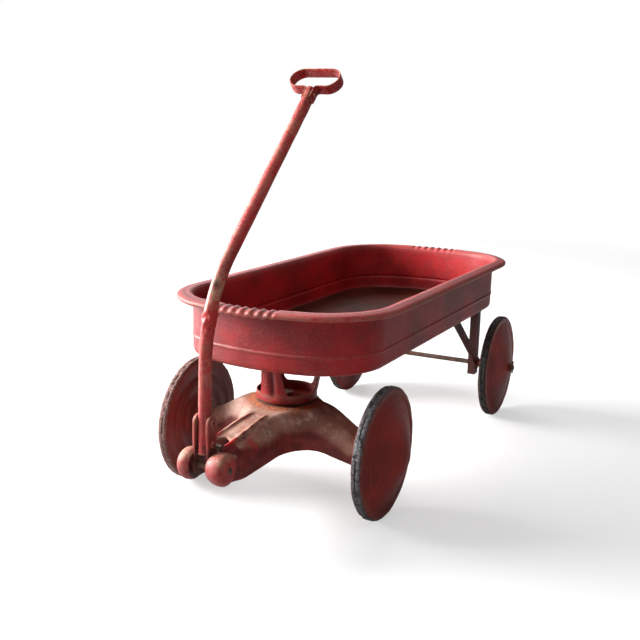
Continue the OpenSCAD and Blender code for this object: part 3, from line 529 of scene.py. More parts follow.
def make_tub():
    W = 25.4
    t = 1.6
    under = [(d, UNDER) for d in (160, 130, 100, 70, 50, 40)]
    outer = (
        under
        + [(W + 9 - 9 * math.sin(a), UNDER + 9 - 9 * math.cos(a)) for a in np.linspace(0, math.pi / 2, 7)]
    )
    outer += [(W, z) for z in (241, 246, 250, 253)]
    outer += [
        (W - 1.35 * (0.5 + 0.5 * math.cos(math.pi * (z - 257.5) / 3.6)), z)
        for z in np.linspace(254.1, 261.1, 9)
    ]
    outer += [(W, z) for z in (262.5, 266, 274, 284, 294, 302, 308)]
    outer += [(W - 7 + 7 * math.cos(a), 312 + 7 * math.sin(a)) for a in np.linspace(0.15, math.pi / 2, 5)]
    outer += [
        (14, 319.2), (10, 318.6), (7.5, 317.2), (6, 315.6), (4.2, 314.6), (2.2, 314.8), (0.8, 316.2),
        (0.05, 318.4), (0.4, 320.4), (2.0, 322.0), (4.6, 323.2), (8.0, 324.0), (12.0, 324.6)
    ]
    inner = [(27 - 9 + 9 * math.sin(a), 316 + 9 * math.cos(a)) for a in np.linspace(-0.2, math.pi / 2, 9)]
    inner += [(W + t, z) for z in (312, 306, 298, 288, 278, 270, 265, 262.5)]
    inner += [
        (W + t - 1.3 * (0.5 + 0.5 * math.cos(math.pi * (z - 257.5) / 3.6)), z)
        for z in np.linspace(261.1, 254.1, 9)
    ]
    inner += [(W + t, z) for z in (252, 246, 241)]
    inner += [
        (W + t + 7.4 - 7.4 * math.cos(a), UNDER + t + 7.4 - 7.4 * math.sin(a))
        for a in np.linspace(0.1, math.pi / 2, 6)
    ]
    inner += [(d, UNDER + t) for d in (40, 50, 70, 100, 130, 160)]
    prof = outer + inner
    m_out = len(outer)
    rings, dust_and_lit_side, rusty, bare, painted_shade_and_grime = [], [], [], [], []
    for j, (d, z) in enumerate(prof):
        # Past the corner radius the floor's rings shrink towards the middle line.
        if d <= 40:
            p, nor = outline(d)
        else:
            p, nor = outline(40)
            k = (d - 40) / 125.0
            p = p * [1 - k, 1 - k * (TUB_W / 2 - 40) / (TUB_LEN / 2 - 40)]
        x, y = p[:, 0], p[:, 1] + MID_Y
        pts = np.column_stack([x, y, np.full(len(x), float(z))])
        inside = j >= m_out
        # Slow dents in the sheet, the same on both faces.
        big = wobble(np.column_stack([x, y, np.full(len(x), z * 0.6)]), 95, 3.3, 2)
        small = wobble(np.column_stack([x, y, np.full(len(x), z)]), 30, 8.1, 2)
        on_wall = float(smooth(236, 246, z) * (1 - smooth(306, 316, z))) if d <= 40 else 0.0
        off = (0.9 * big + 0.22 * small) * on_wall
        pts[:, :2] += nor * off[:, None]
        if d > 34 and z < 240:
            pts[:, 2] += (0.7 * big + 0.2 * small) * smooth(30, 60, d)
            if not inside:
                pts[:, 2] = np.maximum(pts[:, 2], UNDER)
        on_rim = float(smooth(308, 316, z))
        rim_w = on_rim * (0.35 * big + 0.2 * small)
        pts[:, 2] += rim_w - 0.35 * on_rim
        # Pressed flutes across the middle of the rim at both ends.
        at_end = np.abs(p[:, 1]) > 300
        k = np.where(at_end, 1.0, 0.0) * smooth(49, 40, np.abs(x))
        wave = 0.5 + 0.5 * np.cos(2 * math.pi * x / 14.6)
        depth = 2.3 * smooth(30, 22, d) * on_rim
        pts[:, 2] -= depth * k * wave
        pts[:, :2] -= nor * (1.3 * on_rim * smooth(9, 2, d) * k * wave)[:, None]
        rings.append(pts)
        n1 = 0.5 + 0.5 * big
        dust_and_lit_side.append(
            np.clip(
                on_rim * (0.25 + 0.35 * n1) + 0.16 * (np.abs(nor[:, 0]) > 0.93) * (not inside) * (z > 232),
                0, 1
            )
        )
        low = float(smooth(244, 231, z))
        rusty.append(np.clip((0.55 * low if not inside else 0.12 * low), 0, 1) * (0.4 + 0.6 * n1))
        # Pale primer on the rim's outer edge is wear; the thin line along the bead is partly a painted
        # highlight.
        bare.append(
            np.full(
                len(x),
                0.2 * on_rim * float(smooth(5, 1, d)) + 0.12 * float(abs(z - 257.5) < 2) * (not inside)
            )
        )
        # Painted shade: darker under the rim's outer lip, and in the corner where the inside wall meets the
        # floor.
        shade = (0.75 * smooth(312, 319, z) * smooth(6, 12, d) if not inside else 0.0)
        painted_shade_and_grime.append(
            np.full(len(x), float(shade)) + (0.35 * float(smooth(240, 231, z)) if inside and d < 45 else 0)
        )
    n = len(rings[0])
    faces = quads(len(rings), n)
    base = np.vstack(rings)
    # Close both floors with a small n-gon.
    faces = [f[::-1] for f in faces]
    faces.append(tuple(range(n)))
    faces.append(tuple((len(rings) - 1) * n + i for i in range(n - 1, -1, -1)))
    groups = []
    first_floor = next(j for j in range(m_out, len(prof)) if prof[j][1] < 233.5)
    for j in range(len(rings) - 1):
        groups += [1 if j >= first_floor else 0] * n
    groups += [0, 1]
    at = {
        "dust_and_lit_side": np.concatenate(dust_and_lit_side), "rusty": np.concatenate(rusty), "bare": np.concatenate(bare),
        "painted_shade_and_grime": np.concatenate(painted_shade_and_grime)
    }
    return build(
        "tub_body", base, faces, [TUB, FLOOR_IN_SHADED], "chassis", ["tub"], at, 50.0, groups=groups
    )


make_tub()

# ---------------------------------------------------------------- wheels
WR, HALF_TRACK, TYRE_W, WB = 101.6, 174.5, 16.0, 585.0


def wheel(tag, s, y, seed, disc_mat, tyre_mat, ragged, cone=33.0):
    body = tag + "_wheel"

    def shake(amount, scale):
        def f(pts, ang, prof):
            w = wobble(pts * [1.0, 1.0, 1.0], scale, seed, 2)
            c = np.array([0, y, WR])
            rad = pts - c
            rad[:, 0] = 0
            ln = np.linalg.norm(rad, axis=1, keepdims=True)
            pts = pts.copy()
            pts[:, 0] += s * amount * w * np.clip(ln[:, 0] / 60, 0, 1)
            # The turned edge is nicked and no longer quite round.
            out = (
                0.5 * wobble(pts, 24, seed + 5, 3) * smooth(90, 98, ln[:, 0])
                - 0.9 * smooth(0.25, 0.6, wobble(pts, 11, seed + 7, 2)) * smooth(95, 98.5, ln[:, 0])
            )
            pts += rad / np.maximum(ln, 1e-6) * out[:, None]
            return pts
        return f

    # Outer disc: turned edge, flat flange, four shallow steps down a cone, blunt nose.
    rs, xs = [], []
    edge = [
        (99.0, -0.9), (98.9, -0.5), (98.2, -0.1), (97.0, 0.0), (94.6, 0.0), (92.0, -0.1), (90.2, -0.6),
        (88.8, -1.0), (88.2, -1.0)
    ]
    for r, x in edge:
        rs.append(r)
        xs.append(x)
    for r in np.linspace(87.6, 9.5, 96):
        k = (88.0 - r) / (88.0 - 9.0)
        # Straight cone, easing out at its foot and at its blunt nose.
        x = (cone + 1.0) * k - 1.0 - 1.2 * float(smooth(22, 8, r))
        ring = 0.16 * math.sin(2 * math.pi * (88.0 - r) / 7.4) * (
            1 - 0.5 * float(smooth(20, 60, 88 - r))
        ) * float(smooth(12, 30, r))
        step = -0.55 * math.exp(-((r - 78) / 0.9) ** 2) - 0.45 * math.exp(-((r - 64) / 0.9) ** 2)
        rs.append(r)
        xs.append(x + ring + step)
    tip = 5.4 if tag == "rear_right" else 0.35
    for r in (8.4, 7.0, tip):
        rs.append(r)
        xs.append(cone - 1.1 + 0.9 * (9.5 - r) / 9)
    face = [(HALF_TRACK + x, r) for r, x in zip(rs, xs)]
    back = [(x - 1.2, r if i else r - 0.6) for i, (x, r) in enumerate(face)][::-1]
    prof = face + back
    pts, fc = lathe_x(prof, y, WR, 128, s, shake(0.55, 40))
    m = len(prof)
    # The profile is closed on itself.
    fc += [(i, (i + 1) % 128, (m - 1) * 128 + (i + 1) % 128, (m - 1) * 128 + i) for i in range(128)]
    cap = []
    if tip < 1:
        cap = [
            tuple((len(face) - 1) * 128 + i for i in range(128)),
            tuple(len(face) * 128 + i for i in range(127, -1, -1))
        ]
        fc = [f for f in fc if not (f[0] // 128 == len(face) - 1 and f[2] // 128 == len(face))]
    rad = np.hypot(pts[:, 1] - y, pts[:, 2] - WR)
    at = {
        "dust_and_lit_side": 0.14 * np.exp(-((rad - 88.0) / 4) ** 2) + 0.07 * (
            0.5 + 0.5 * np.sin(rad / 1.7)
        ) * smooth(20, 40, rad),
        "rusty": 0.30 * smooth(16, 8, rad) + 0.22 * smooth(90, 94, rad),
        "bare": 0.5 * smooth(91, 94, rad),
    }
    build(tag + "_cone", pts, fc + cap, disc_mat, body, [tag + "_outer_disc"], at, 40.0)

    # Inner disc: flange, raised ring and a shallow dish to the hub.
    inner = [
        (99.0, 0.9), (98.6, 0.3), (97.6, 0.05), (95.4, 0.0), (91, 0.0), (86, 0.2), (83, 0.6), (80, 0.8),
        (78, 1.4), (76, 2.6), (73, 3.2), (70, 2.8), (67, 1.4), (64, 0.6), (60, 0.1), (57, 0.3), (54, 1.0),
        (51, 2.3), (47, 2.9), (43, 2.3), (40, 0.8), (37, -0.4), (34, -1.0), (31.5, -2.0), (28.5, -5.4),
        (26, -5.9), (18, -6.1), (8.0, -6.1)
    ]
    fine = []
    for (r0, x0), (r1, x1) in zip(inner, inner[1:]):
        for k in range(3):
            t = k / 3
            r = r0 + (r1 - r0) * t
            fine.append((r, x0 + (x1 - x0) * (t * t * (3 - 2 * t)) + 0.12 * math.sin(r * 2.1)))
    fine.append(inner[-1])
    rim_in = HALF_TRACK - TYRE_W
    face = [(rim_in + x, r) for r, x in fine]
    back = [(x + 1.2, r if i else r - 0.6) for i, (x, r) in enumerate(face)][::-1]
    prof = face + back
    pts, fc = lathe_x(prof, y, WR, 128, s, shake(0.4, 45))
    m = len(prof)
    fc += [(i, (i + 1) % 128, (m - 1) * 128 + (i + 1) % 128, (m - 1) * 128 + i) for i in range(128)]
    rad = np.hypot(pts[:, 1] - y, pts[:, 2] - WR)
    at = {
        "dust_and_lit_side": 0.2 * (0.5 + 0.5 * np.sin(rad / 1.3)) * smooth(20, 40, rad),
        "rusty": 0.45 * smooth(34, 20, rad) + 0.2 * smooth(88, 94, rad),
        # painted shade in the dish's step and in the groove beside the raised ring
        "painted_shade_and_grime": 0.5 * np.exp(-((rad - 34.0) / 5) ** 2) + 0.25 * np.exp(-((rad - 66.0) / 3) ** 2),
    }
    build(tag + "_back", pts, fc, disc_mat, body, [tag + "_inner_disc"], at, 40.0)

    # Tyre: a flat band that has cracked, split along its middle and lost crumbs.
    n = 420
    sec = [
        (1.3, 91.4), (1.25, 95.0), (1.2, 98.0), (1.4, 99.9), (2.2, 101.0), (3.6, 101.5), (5.2, 101.6),
        (6.6, 101.6), (7.1, 101.6), (7.5, 101.6), (7.9, 101.6), (8.4, 101.6), (10.4, 101.6), (12.4, 101.5),
        (13.8, 101.0), (14.6, 99.9), (14.8, 98.0), (14.75, 95.0), (14.7, 91.4)
    ]
    prof = [(rim_in + x, r) for x, r in sec]
    ang = np.linspace(0, 2 * math.pi, n, endpoint=False)
    pts, gr = [], []
    for j, (x, r) in enumerate(prof):
        q = np.column_stack([np.full(n, x), r * np.cos(ang), r * np.sin(ang)])
        w = wobble(q, 13, seed, 4)
        v = wobble(q, 5.0, seed + 4, 3)
        bites = smooth(0.30, 0.55, wobble(q, 8.5, seed + 9, 2))
        tread = float(smooth(95, 99, r))
        split = (1.0 if 7.0 < sec[j][0] < 8.0 else 0.0) * smooth(
            -0.12, 0.2, wobble(q * [0.1, 1, 1], 30, seed + 2, 2)
        )
        loss = ragged * tread * (1.7 * bites + 0.9 * np.abs(v) + 0.9 * np.clip(w, 0, 1)) + 4.2 * split
        rr = r - np.clip(loss, 0, 5)
        xx = x + ragged * tread * 0.45 * w
        pts.append(np.column_stack([s * xx, y + rr * np.cos(ang), WR + rr * np.sin(ang)]))
        # Painted shade in the split, partly in the bites, and at the band's edges against the discs.
        gr.append(
            np.clip(0.9 * split + 0.35 * bites * tread + (0.8 if j in (0, len(prof) - 1) else 0.0), 0, 1)
        )
    pts = np.vstack(pts)
    fc = quads(len(prof), n)
    m = len(prof)
    fc += [(i, (i + 1) % n, (m - 1) * n + (i + 1) % n, (m - 1) * n + i) for i in range(n)]
    build(
        tag + "_band", pts, fc, tyre_mat, body, [tag + "_tyre"],
        {"painted_shade_and_grime": np.concatenate(gr)}, 55.0
    )


wheel("front_right", 1, 0.0, 11.0, WHEEL, RUBBER_F, 1.0)
wheel("front_left", -1, 0.0, 23.0, WHEEL_L, RUBBER_L, 0.6)
wheel("rear_right", 1, WB, 37.0, WHEEL, RUBBER_R, 1.4, 21.0)
wheel("rear_left", -1, WB, 51.0, WHEEL_L, RUBBER_R, 0.9, 21.0)

# ---------------------------------------------------------------- yoke
PAD_Z, HINGE_Y, HINGE_Z, YOKE_X = 160.0, -228.0, 125.5, 150.0


def yoke_front(n_nose=46, n_fil=26, n_arm=22):
    p = [
        (38 - (y + 214) / 114.0 - 3.5 * float(smooth(-196, -214, y)), y)
        for y in np.linspace(-214, -100, n_nose)
    ]
    p += [
        (37 + 63 * (1 - math.cos(a)), -100 + 63 * math.sin(a))
        for a in np.linspace(0, math.pi / 2, n_fil)[1:]
    ]
    p += [
        (x, -37 + 3.0 * (x - 100) / 25 if x < 125 else -34 + 4 * (x - 125) / 25)
        for x in np.linspace(100, YOKE_X, n_arm)[1:]
    ]
    return np.array(p)


def yoke_rear(n):
    t = np.linspace(1, 0, n)
    x = 150 - 134 * np.sin(t * math.pi / 2)
    y = 30 + 36 * (1 - np.cos(t * math.pi / 2))
    x = x - 16 * smooth(0.55, 1.0, t) * (x / np.maximum(x, 1e-6))
    return np.column_stack([np.maximum(x, 0), y])


def spine(x, y):
    return PAD_Z - 2 - 38 * ramp01((np.abs(x) - 55) / 95) - 12 * ramp01((-y - 50) / 185)


def slot_half(y):
    y = np.asarray(y, float)
    return np.where(y < -186, 11.5, np.sqrt(np.clip(11.5 ** 2 - (y + 186) ** 2, 0, None)))


def seg_dist(p, poly):
    best = np.full(len(p), 1e9)
    for a, b in zip(poly[:-1], poly[1:]):
        ab = b - a
        t = np.clip(((p - a) @ ab) / max(ab @ ab, 1e-9), 0, 1)
        best = np.minimum(best, np.linalg.norm(p - a - t[:, None] * ab, axis=1))
    return best


def make_yoke():
    front = yoke_front()
    nf = len(front)
    n_nose = 58
    n_arm = nf - n_nose
    rear = yoke_rear(n_arm + 1)
    ys = np.linspace(-214, 0, n_nose)
    s_front = np.vstack(
        [
            np.column_stack([slot_half(ys), ys]),
            np.column_stack([np.linspace(0, YOKE_X - 3, n_arm + 1)[1:], np.zeros(n_arm)])
        ]
    )
    end = np.column_stack([np.full(9, YOKE_X), np.linspace(-30, 30, 11)[1:-1]])
    s_end = np.column_stack([np.full(9, YOKE_X - 3), np.zeros(9)])
    s_rear = np.column_stack([np.linspace(0, YOKE_X - 3, n_arm + 1), np.zeros(n_arm + 1)])
    edge = np.vstack([front, end, rear[::-1]])
    skel = np.vstack([s_front, s_end, s_rear[::-1]])
    n = len(edge)
    tang = np.gradient(edge, axis=0)
    tang /= np.maximum(np.linalg.norm(tang, axis=1, keepdims=True), 1e-9)
    outn = np.column_stack([tang[:, 1], -tang[:, 0]])
    vs = (np.linspace(0, 1, 30) ** 1.25)[::-1]
    rows = [edge * (1 - v) + skel * v for v in vs]
    pts = []
    for p in rows:
        d = np.minimum(seg_dist(p, front), seg_dist(p, rear))
        t = np.clip(1 - d / 22, 0, 1)
        z = spine(p[:, 0], p[:, 1]) - 22 * t * t
        r = np.hypot(p[:, 0], p[:, 1])
        z = z + (PAD_Z - z) * smooth(60, 50, r)
        x, y = p[:, 0], p[:, 1]
        # Ribs beside the slot, the creases outside them and the lip of the slot.
        cx = 12.5 + 4.0 * smooth(-80, -200, y)
        along = smooth(-74, -92, y) * smooth(-222, -205, y)
        z = z + 2.6 * np.exp(-((x - cx) / 3.0) ** 2) * along
        z = z - 2.0 * np.exp(-((x - cx - 7.5) / 3.2) ** 2) * smooth(-120, -165, y)
        z = z + 1.5 * np.exp(-((x - cx - 15) / 5.0) ** 2) * smooth(-130, -180, y)
        ds = np.where(y < -170, np.maximum(x - slot_half(y), 0), 99)
        z = z - 2.4 * np.clip(1 - ds / 3.0, 0, 1) ** 2 * smooth(-172, -180, y)
        z = z + 0.5 * wobble(np.column_stack([x, y, z]), 32, 4.4, 3) * smooth(48, 60, r)
        pts.append(np.column_stack([x, y, z]))
    top_edge = pts[-1].copy()
    # vs runs from the spine out to the edge; the skirt follows.
    low = 103 - 17 * ramp01((np.abs(edge[:, 0]) - 60) / 90)
    for f, o in (
        (0.10, 0.25), (0.22, 0.5), (0.34, 1.4), (0.42, 2.3), (0.55, 2.5), (0.7, 2.6), (0.85, 2.9),
        (0.95, 3.5), (1.0, 3.9)
    ):
        q = top_edge.copy()
        q[:, 2] = top_edge[:, 2] * (1 - f) + low * f
        q[:, :2] += outn * o * smooth(-212, -185, edge[:, 1])[:, None]
        q[:, 0] = np.minimum(q[:, 0], YOKE_X + 0.8)
        q[:, 2] += 0.3 * wobble(q, 40, 6.0, 2) * f
        pts.append(q)
    P = np.vstack(pts)
    m = len(pts)
    faces = quads(m, n, wrap_n=False)
    L = P * [-1, 1, 1]
    lf = [tuple(i + len(P) for i in f[::-1]) for f in faces]
    A = np.vstack([P, L])
    x, y, z = np.abs(A[:, 0]), A[:, 1], A[:, 2]
    drop = spine(x, y) - z
    r = np.hypot(x, y)
    w = 0.5 + 0.5 * wobble(A, 26, 9.0, 3)
    w2 = 0.5 + 0.5 * wobble(A, 12, 5.0, 3)
    paint = smooth(6, 36, drop + 8 * (w - 0.5)) * 0.9
    rib = np.exp(-((x - 12.5 - 4.0 * smooth(-80, -200, y)) / 4.0) ** 2) * smooth(-74, -92, y)
    near = smooth(-120, -200, y) * smooth(12, 22, x + 6 * (w - 0.5))
    paint = np.clip(paint + 0.8 * rib * smooth(0.25, 0.5, w2) + 0.9 * near * smooth(0.2, 0.55, w), 0, 1)
    # Bright red on the rib by the slot's end and on the bulge beside it: red enamel, painted brighter as a
    # highlight.
    fresh_paint_and_highlight = (
        np.exp(-(((x - 16.5) / 5.5) ** 2 + ((y + 186) / 15) ** 2))
        + 0.55 * np.exp(-(((x - 31) / 6) ** 2 + ((y + 152) / 16) ** 2)) * smooth(0.35, 0.6, w2)
    )
    rusty = (
        0.95 * np.exp(-((r - 55) / 7.5) ** 2) + 0.4 * smooth(20, 34, drop) * w
        + 0.35 * smooth(90, 140, x) * w
    )
    # Painted shade under the turning pad, in the crease beside the rib, along the fold into the skirt and
    # towards the rear arm under the tub.
    painted_shade_and_grime = (
        0.75 * smooth(50.5, 47.5, r) + 0.35 * np.exp(-((drop - 29) / 3.0) ** 2) * smooth(40, 60, x)
        + 0.55 * np.exp(-((x - 20.5) / 1.6) ** 2) * smooth(-130, -160, y) + 0.35 * smooth(0, 30, y)
    )
    at = {
        "paint": paint, "fresh_paint_and_highlight": np.clip(fresh_paint_and_highlight, 0, 1) * smooth(0.15, 0.5, w2), "rusty": rusty,
        "painted_shade_and_grime": painted_shade_and_grime
    }
    sol = ("SOLIDIFY", {"thickness": 0.0028, "offset": -1.0, "use_even_offset": True})
    build(
        "yoke_press", A, faces + lf, YOKE, "yoke", ["yoke_shell"], at, 60.0, mods=[sol],
        upward=True
    )
    # Worn pad that the bolster turns on.
    disc = [
        (52.0, 158.0), (51.6, 159.5), (50.6, 160.0), (44.0, 160.02), (30.0, 160.0), (14.0, 160.0),
        (6.6, 159.9), (6.5, 158.1), (20.0, 158.0), (40.0, 158.0)
    ]
    ang = np.linspace(0, 2 * math.pi, 96, endpoint=False)
    pts = np.vstack([np.column_stack([r * np.cos(ang), r * np.sin(ang), np.full(96, z)]) for r, z in disc])
    fc = quads(len(disc), 96, True, True)
    r = np.hypot(pts[:, 0], pts[:, 1])
    # The pad's middle, under the bolster's cup, carries painted shade.
    build(
        "turning_pad", pts, fc, YOKE, "yoke", ["turntable_plate"],
        {"rusty": np.full(len(pts), 0.9) * smooth(40, 47, r), "painted_shade_and_grime": smooth(47, 42, r)}, 40.0
    )


def knuckle(name, side, node):
    # Both bulge outwards from the slot; the right one is fuller and ends flatter.
    if side > 0:
        prof = [
            (12.6, 4.2), (12.6, 16.6), (12.8, 17.2), (14.6, 18.4), (18.0, 20.3), (22.0, 21.9), (27.0, 22.9),
            (32.0, 23.0), (35.6, 22.4), (38.0, 20.8), (39.4, 18.2), (40.0, 14.4), (40.3, 9.0), (40.5, 4.4),
            (40.6, 0.4)
        ]
    else:
        prof = [
            (12.6, 4.2), (12.6, 19.4), (12.8, 20.0), (14.6, 21.4), (18.0, 22.7), (22.0, 22.9), (26.0, 22.2),
            (29.6, 20.6), (32.4, 18.0), (34.6, 14.6), (36.4, 10.6), (37.6, 6.2), (38.2, 2.8), (38.4, 0.4)
        ]
    fine = []
    for a, b in zip(prof[:-1], prof[1:]):
        for k in range(3):
            t = k / 3
            fine.append((a[0] + (b[0] - a[0]) * t, a[1] + (b[1] - a[1]) * t))
    fine.append(prof[-1])
    pts, fc = lathe_x(fine, HINGE_Y, HINGE_Z, 80, side)
    fc.append(tuple((len(fine) - 1) * 80 + i for i in range(80)))
    fc.append(tuple(range(79, -1, -1)))
    d = pts - [0, HINGE_Y, HINGE_Z]
    k = -0.45 * np.abs(wobble(pts, 17, 2.0 + side, 3)) * np.clip(np.hypot(d[:, 1], d[:, 2]) / 23, 0, 1)
    pts[:, 1] += k * d[:, 1] / 23
    pts[:, 2] += k * d[:, 2] / 23
    w = 0.5 + 0.5 * wobble(pts, 9, 5.0, 3)
    up = np.clip(d[:, 2] / 23, -1, 1)
    at = {
        "bare": 0.9 * smooth(0.35, 0.85, up + 0.3 * (w - 0.5)),
        "dust_and_lit_side": 0.55 * smooth(-0.9, 0.6, up) * smooth(0.35, 0.6, w),
        "rusty": 0.5 * smooth(0.6, 1.0, up) * w,
        # painted shade on the underside and on the inner face towards the slot
        "painted_shade_and_grime": np.maximum(0.5 * smooth(-0.6, -1.0, up), 0.95 * (np.abs(pts[:, 0]) < 12.7))
    }
    build(name, pts, fc, FRONT, "yoke", [node], at, 50.0)


make_yoke()
knuckle("knuckle_r", 1, "knuckle_right")
knuckle("knuckle_l", -1, "knuckle_left")

# ---------------------------------------------------------------- front bolster


def make_bolster():
    cols_leg, cols_win = 22, 14
    per = cols_leg + cols_win

    def radius(z):
        return 47.5 + 8.5 * float(np.clip((z - 177) / 49.5, 0, 1))

    def angles(v):
        half = 15.5 + 12.5 * (1 - v) ** 1.1 + (5.0 * (1 - min(v / 0.12, 1.0)) ** 2 if v > 0 else 5.0)
        out = []
        for a0 in (-90.0, 30.0, 150.0):
            out += [(a0 - half + 2 * half * i / cols_leg) for i in range(cols_leg)]
            out += [(a0 + half + (120 - 2 * half) * i / cols_win) for i in range(cols_win)]
        return out

    rows = []
    cup = [
        (6.8, 163.0), (20, 163.0), (34, 163.0), (42.5, 163.0), (45.6, 163.4), (47.0, 164.6), (47.5, 166.4),
        (47.4, 170), (47.4, 174), (47.5, 177)
    ]
    for r, z in cup:
        rows.append([(r, a, z) for a in angles(0.0)])
    for v in np.linspace(0, 1, 17)[1:]:
        z = 177 + 47.2 * v
        rows.append([(radius(z), a, z) for a in angles(float(v))])
    for r, z in ((56.6, 225.2), (58.2, 226.1), (60.5, 226.4), (66, 226.4), (72, 226.4), (76, 226.4)):
        rows.append([(r, a, z) for a in angles(1.0)])
    pts, painted_shade_and_grime, bare, rusty = [], [], [], []
    for j, rr in enumerate(rows):
        for i, (r, a, z) in enumerate(rr):
            k = i % per
            crease = 0.0
            if k <= cols_leg and 170 < z < 227.5:
                u = (k / cols_leg - 0.5) * 2
                fade = float(smooth(168, 184, z) * smooth(228, 214, z))
                crease = (
                    3.4 * math.exp(-((u - 0.10) / 0.22) ** 2) * fade
                    - 0.8 * math.exp(-((u + 0.45) / 0.3) ** 2) * fade
                )
                r = r - crease
            pts.append((r * math.cos(math.radians(a)), r * math.sin(math.radians(a)), z))
            # Painted shade in the crease and at the top, under the tub.
            painted_shade_and_grime.append(0.75 * max(crease, 0) / 3.4 + 0.5 * float(smooth(222, 228, z)))
            bare.append(0.35 * float(smooth(179, 175, z)) * float(z > 170))
            rusty.append(0.5 * float(smooth(168, 163, z)))
    n = len(rows[0])
    faces = []
    cup_rows = len(cup)
    for f in quads(len(rows), n):
        j, i = f[0] // n, f[0] % n
        if j >= cup_rows - 1 and (i % per) >= cols_leg:
            continue
        faces.append(f)
    pts = np.array(pts)
    pts += 0.25 * wobble(pts, 22, 7.7, 2)[:, None] * [1, 1, 0]
    sol = ("SOLIDIFY", {"thickness": 0.0024, "offset": 1.0, "use_even_offset": True})
    build(
        "bolster_cup", pts, faces, FRONT, "chassis", ["front_bolster"],
        {"painted_shade_and_grime": painted_shade_and_grime, "bare": bare, "rusty": rusty}, 40.0, mods=[sol, bevel(0.5, 2, 50)], inward=True
    )


make_bolster()

# ---------------------------------------------------------------- handle
LOW_LEAN, UP_LEAN, BEND_R = math.radians(1.5), math.radians(45.6), 190.0
BEND = UP_LEAN - LOW_LEAN
BEND_LEG = BEND_R * math.tan(BEND / 2)
LOW_LEN = (350 - HINGE_Z) / math.cos(LOW_LEAN) - BEND_LEG
CORNER = LOW_LEN + BEND_LEG
UP_LEN = 371.0


def lower(p):
    """From (x, across, along) of the handle's lower length to king pin millimetres."""
    p = np.asarray(p, float)
    c, s = math.cos(LOW_LEAN), math.sin(LOW_LEAN)
    return np.column_stack(
        [p[:, 0], HINGE_Y + p[:, 1] * c + p[:, 2] * s, HINGE_Z - p[:, 1] * s + p[:, 2] * c]
    )


def upper(p):
    """The same for the upper length: across is square to the tube, along runs from the bend's corner."""
    p = np.asarray(p, float)
    c, s = math.cos(BEND), math.sin(BEND)
    return lower(np.column_stack([p[:, 0], p[:, 2] * s + p[:, 1] * c, CORNER + p[:, 2] * c - p[:, 1] * s]))


FLAT_T, FLAT_W, FLAT_LEN, TUBE_R = 11.0, 20.0, 24.0, 9.0


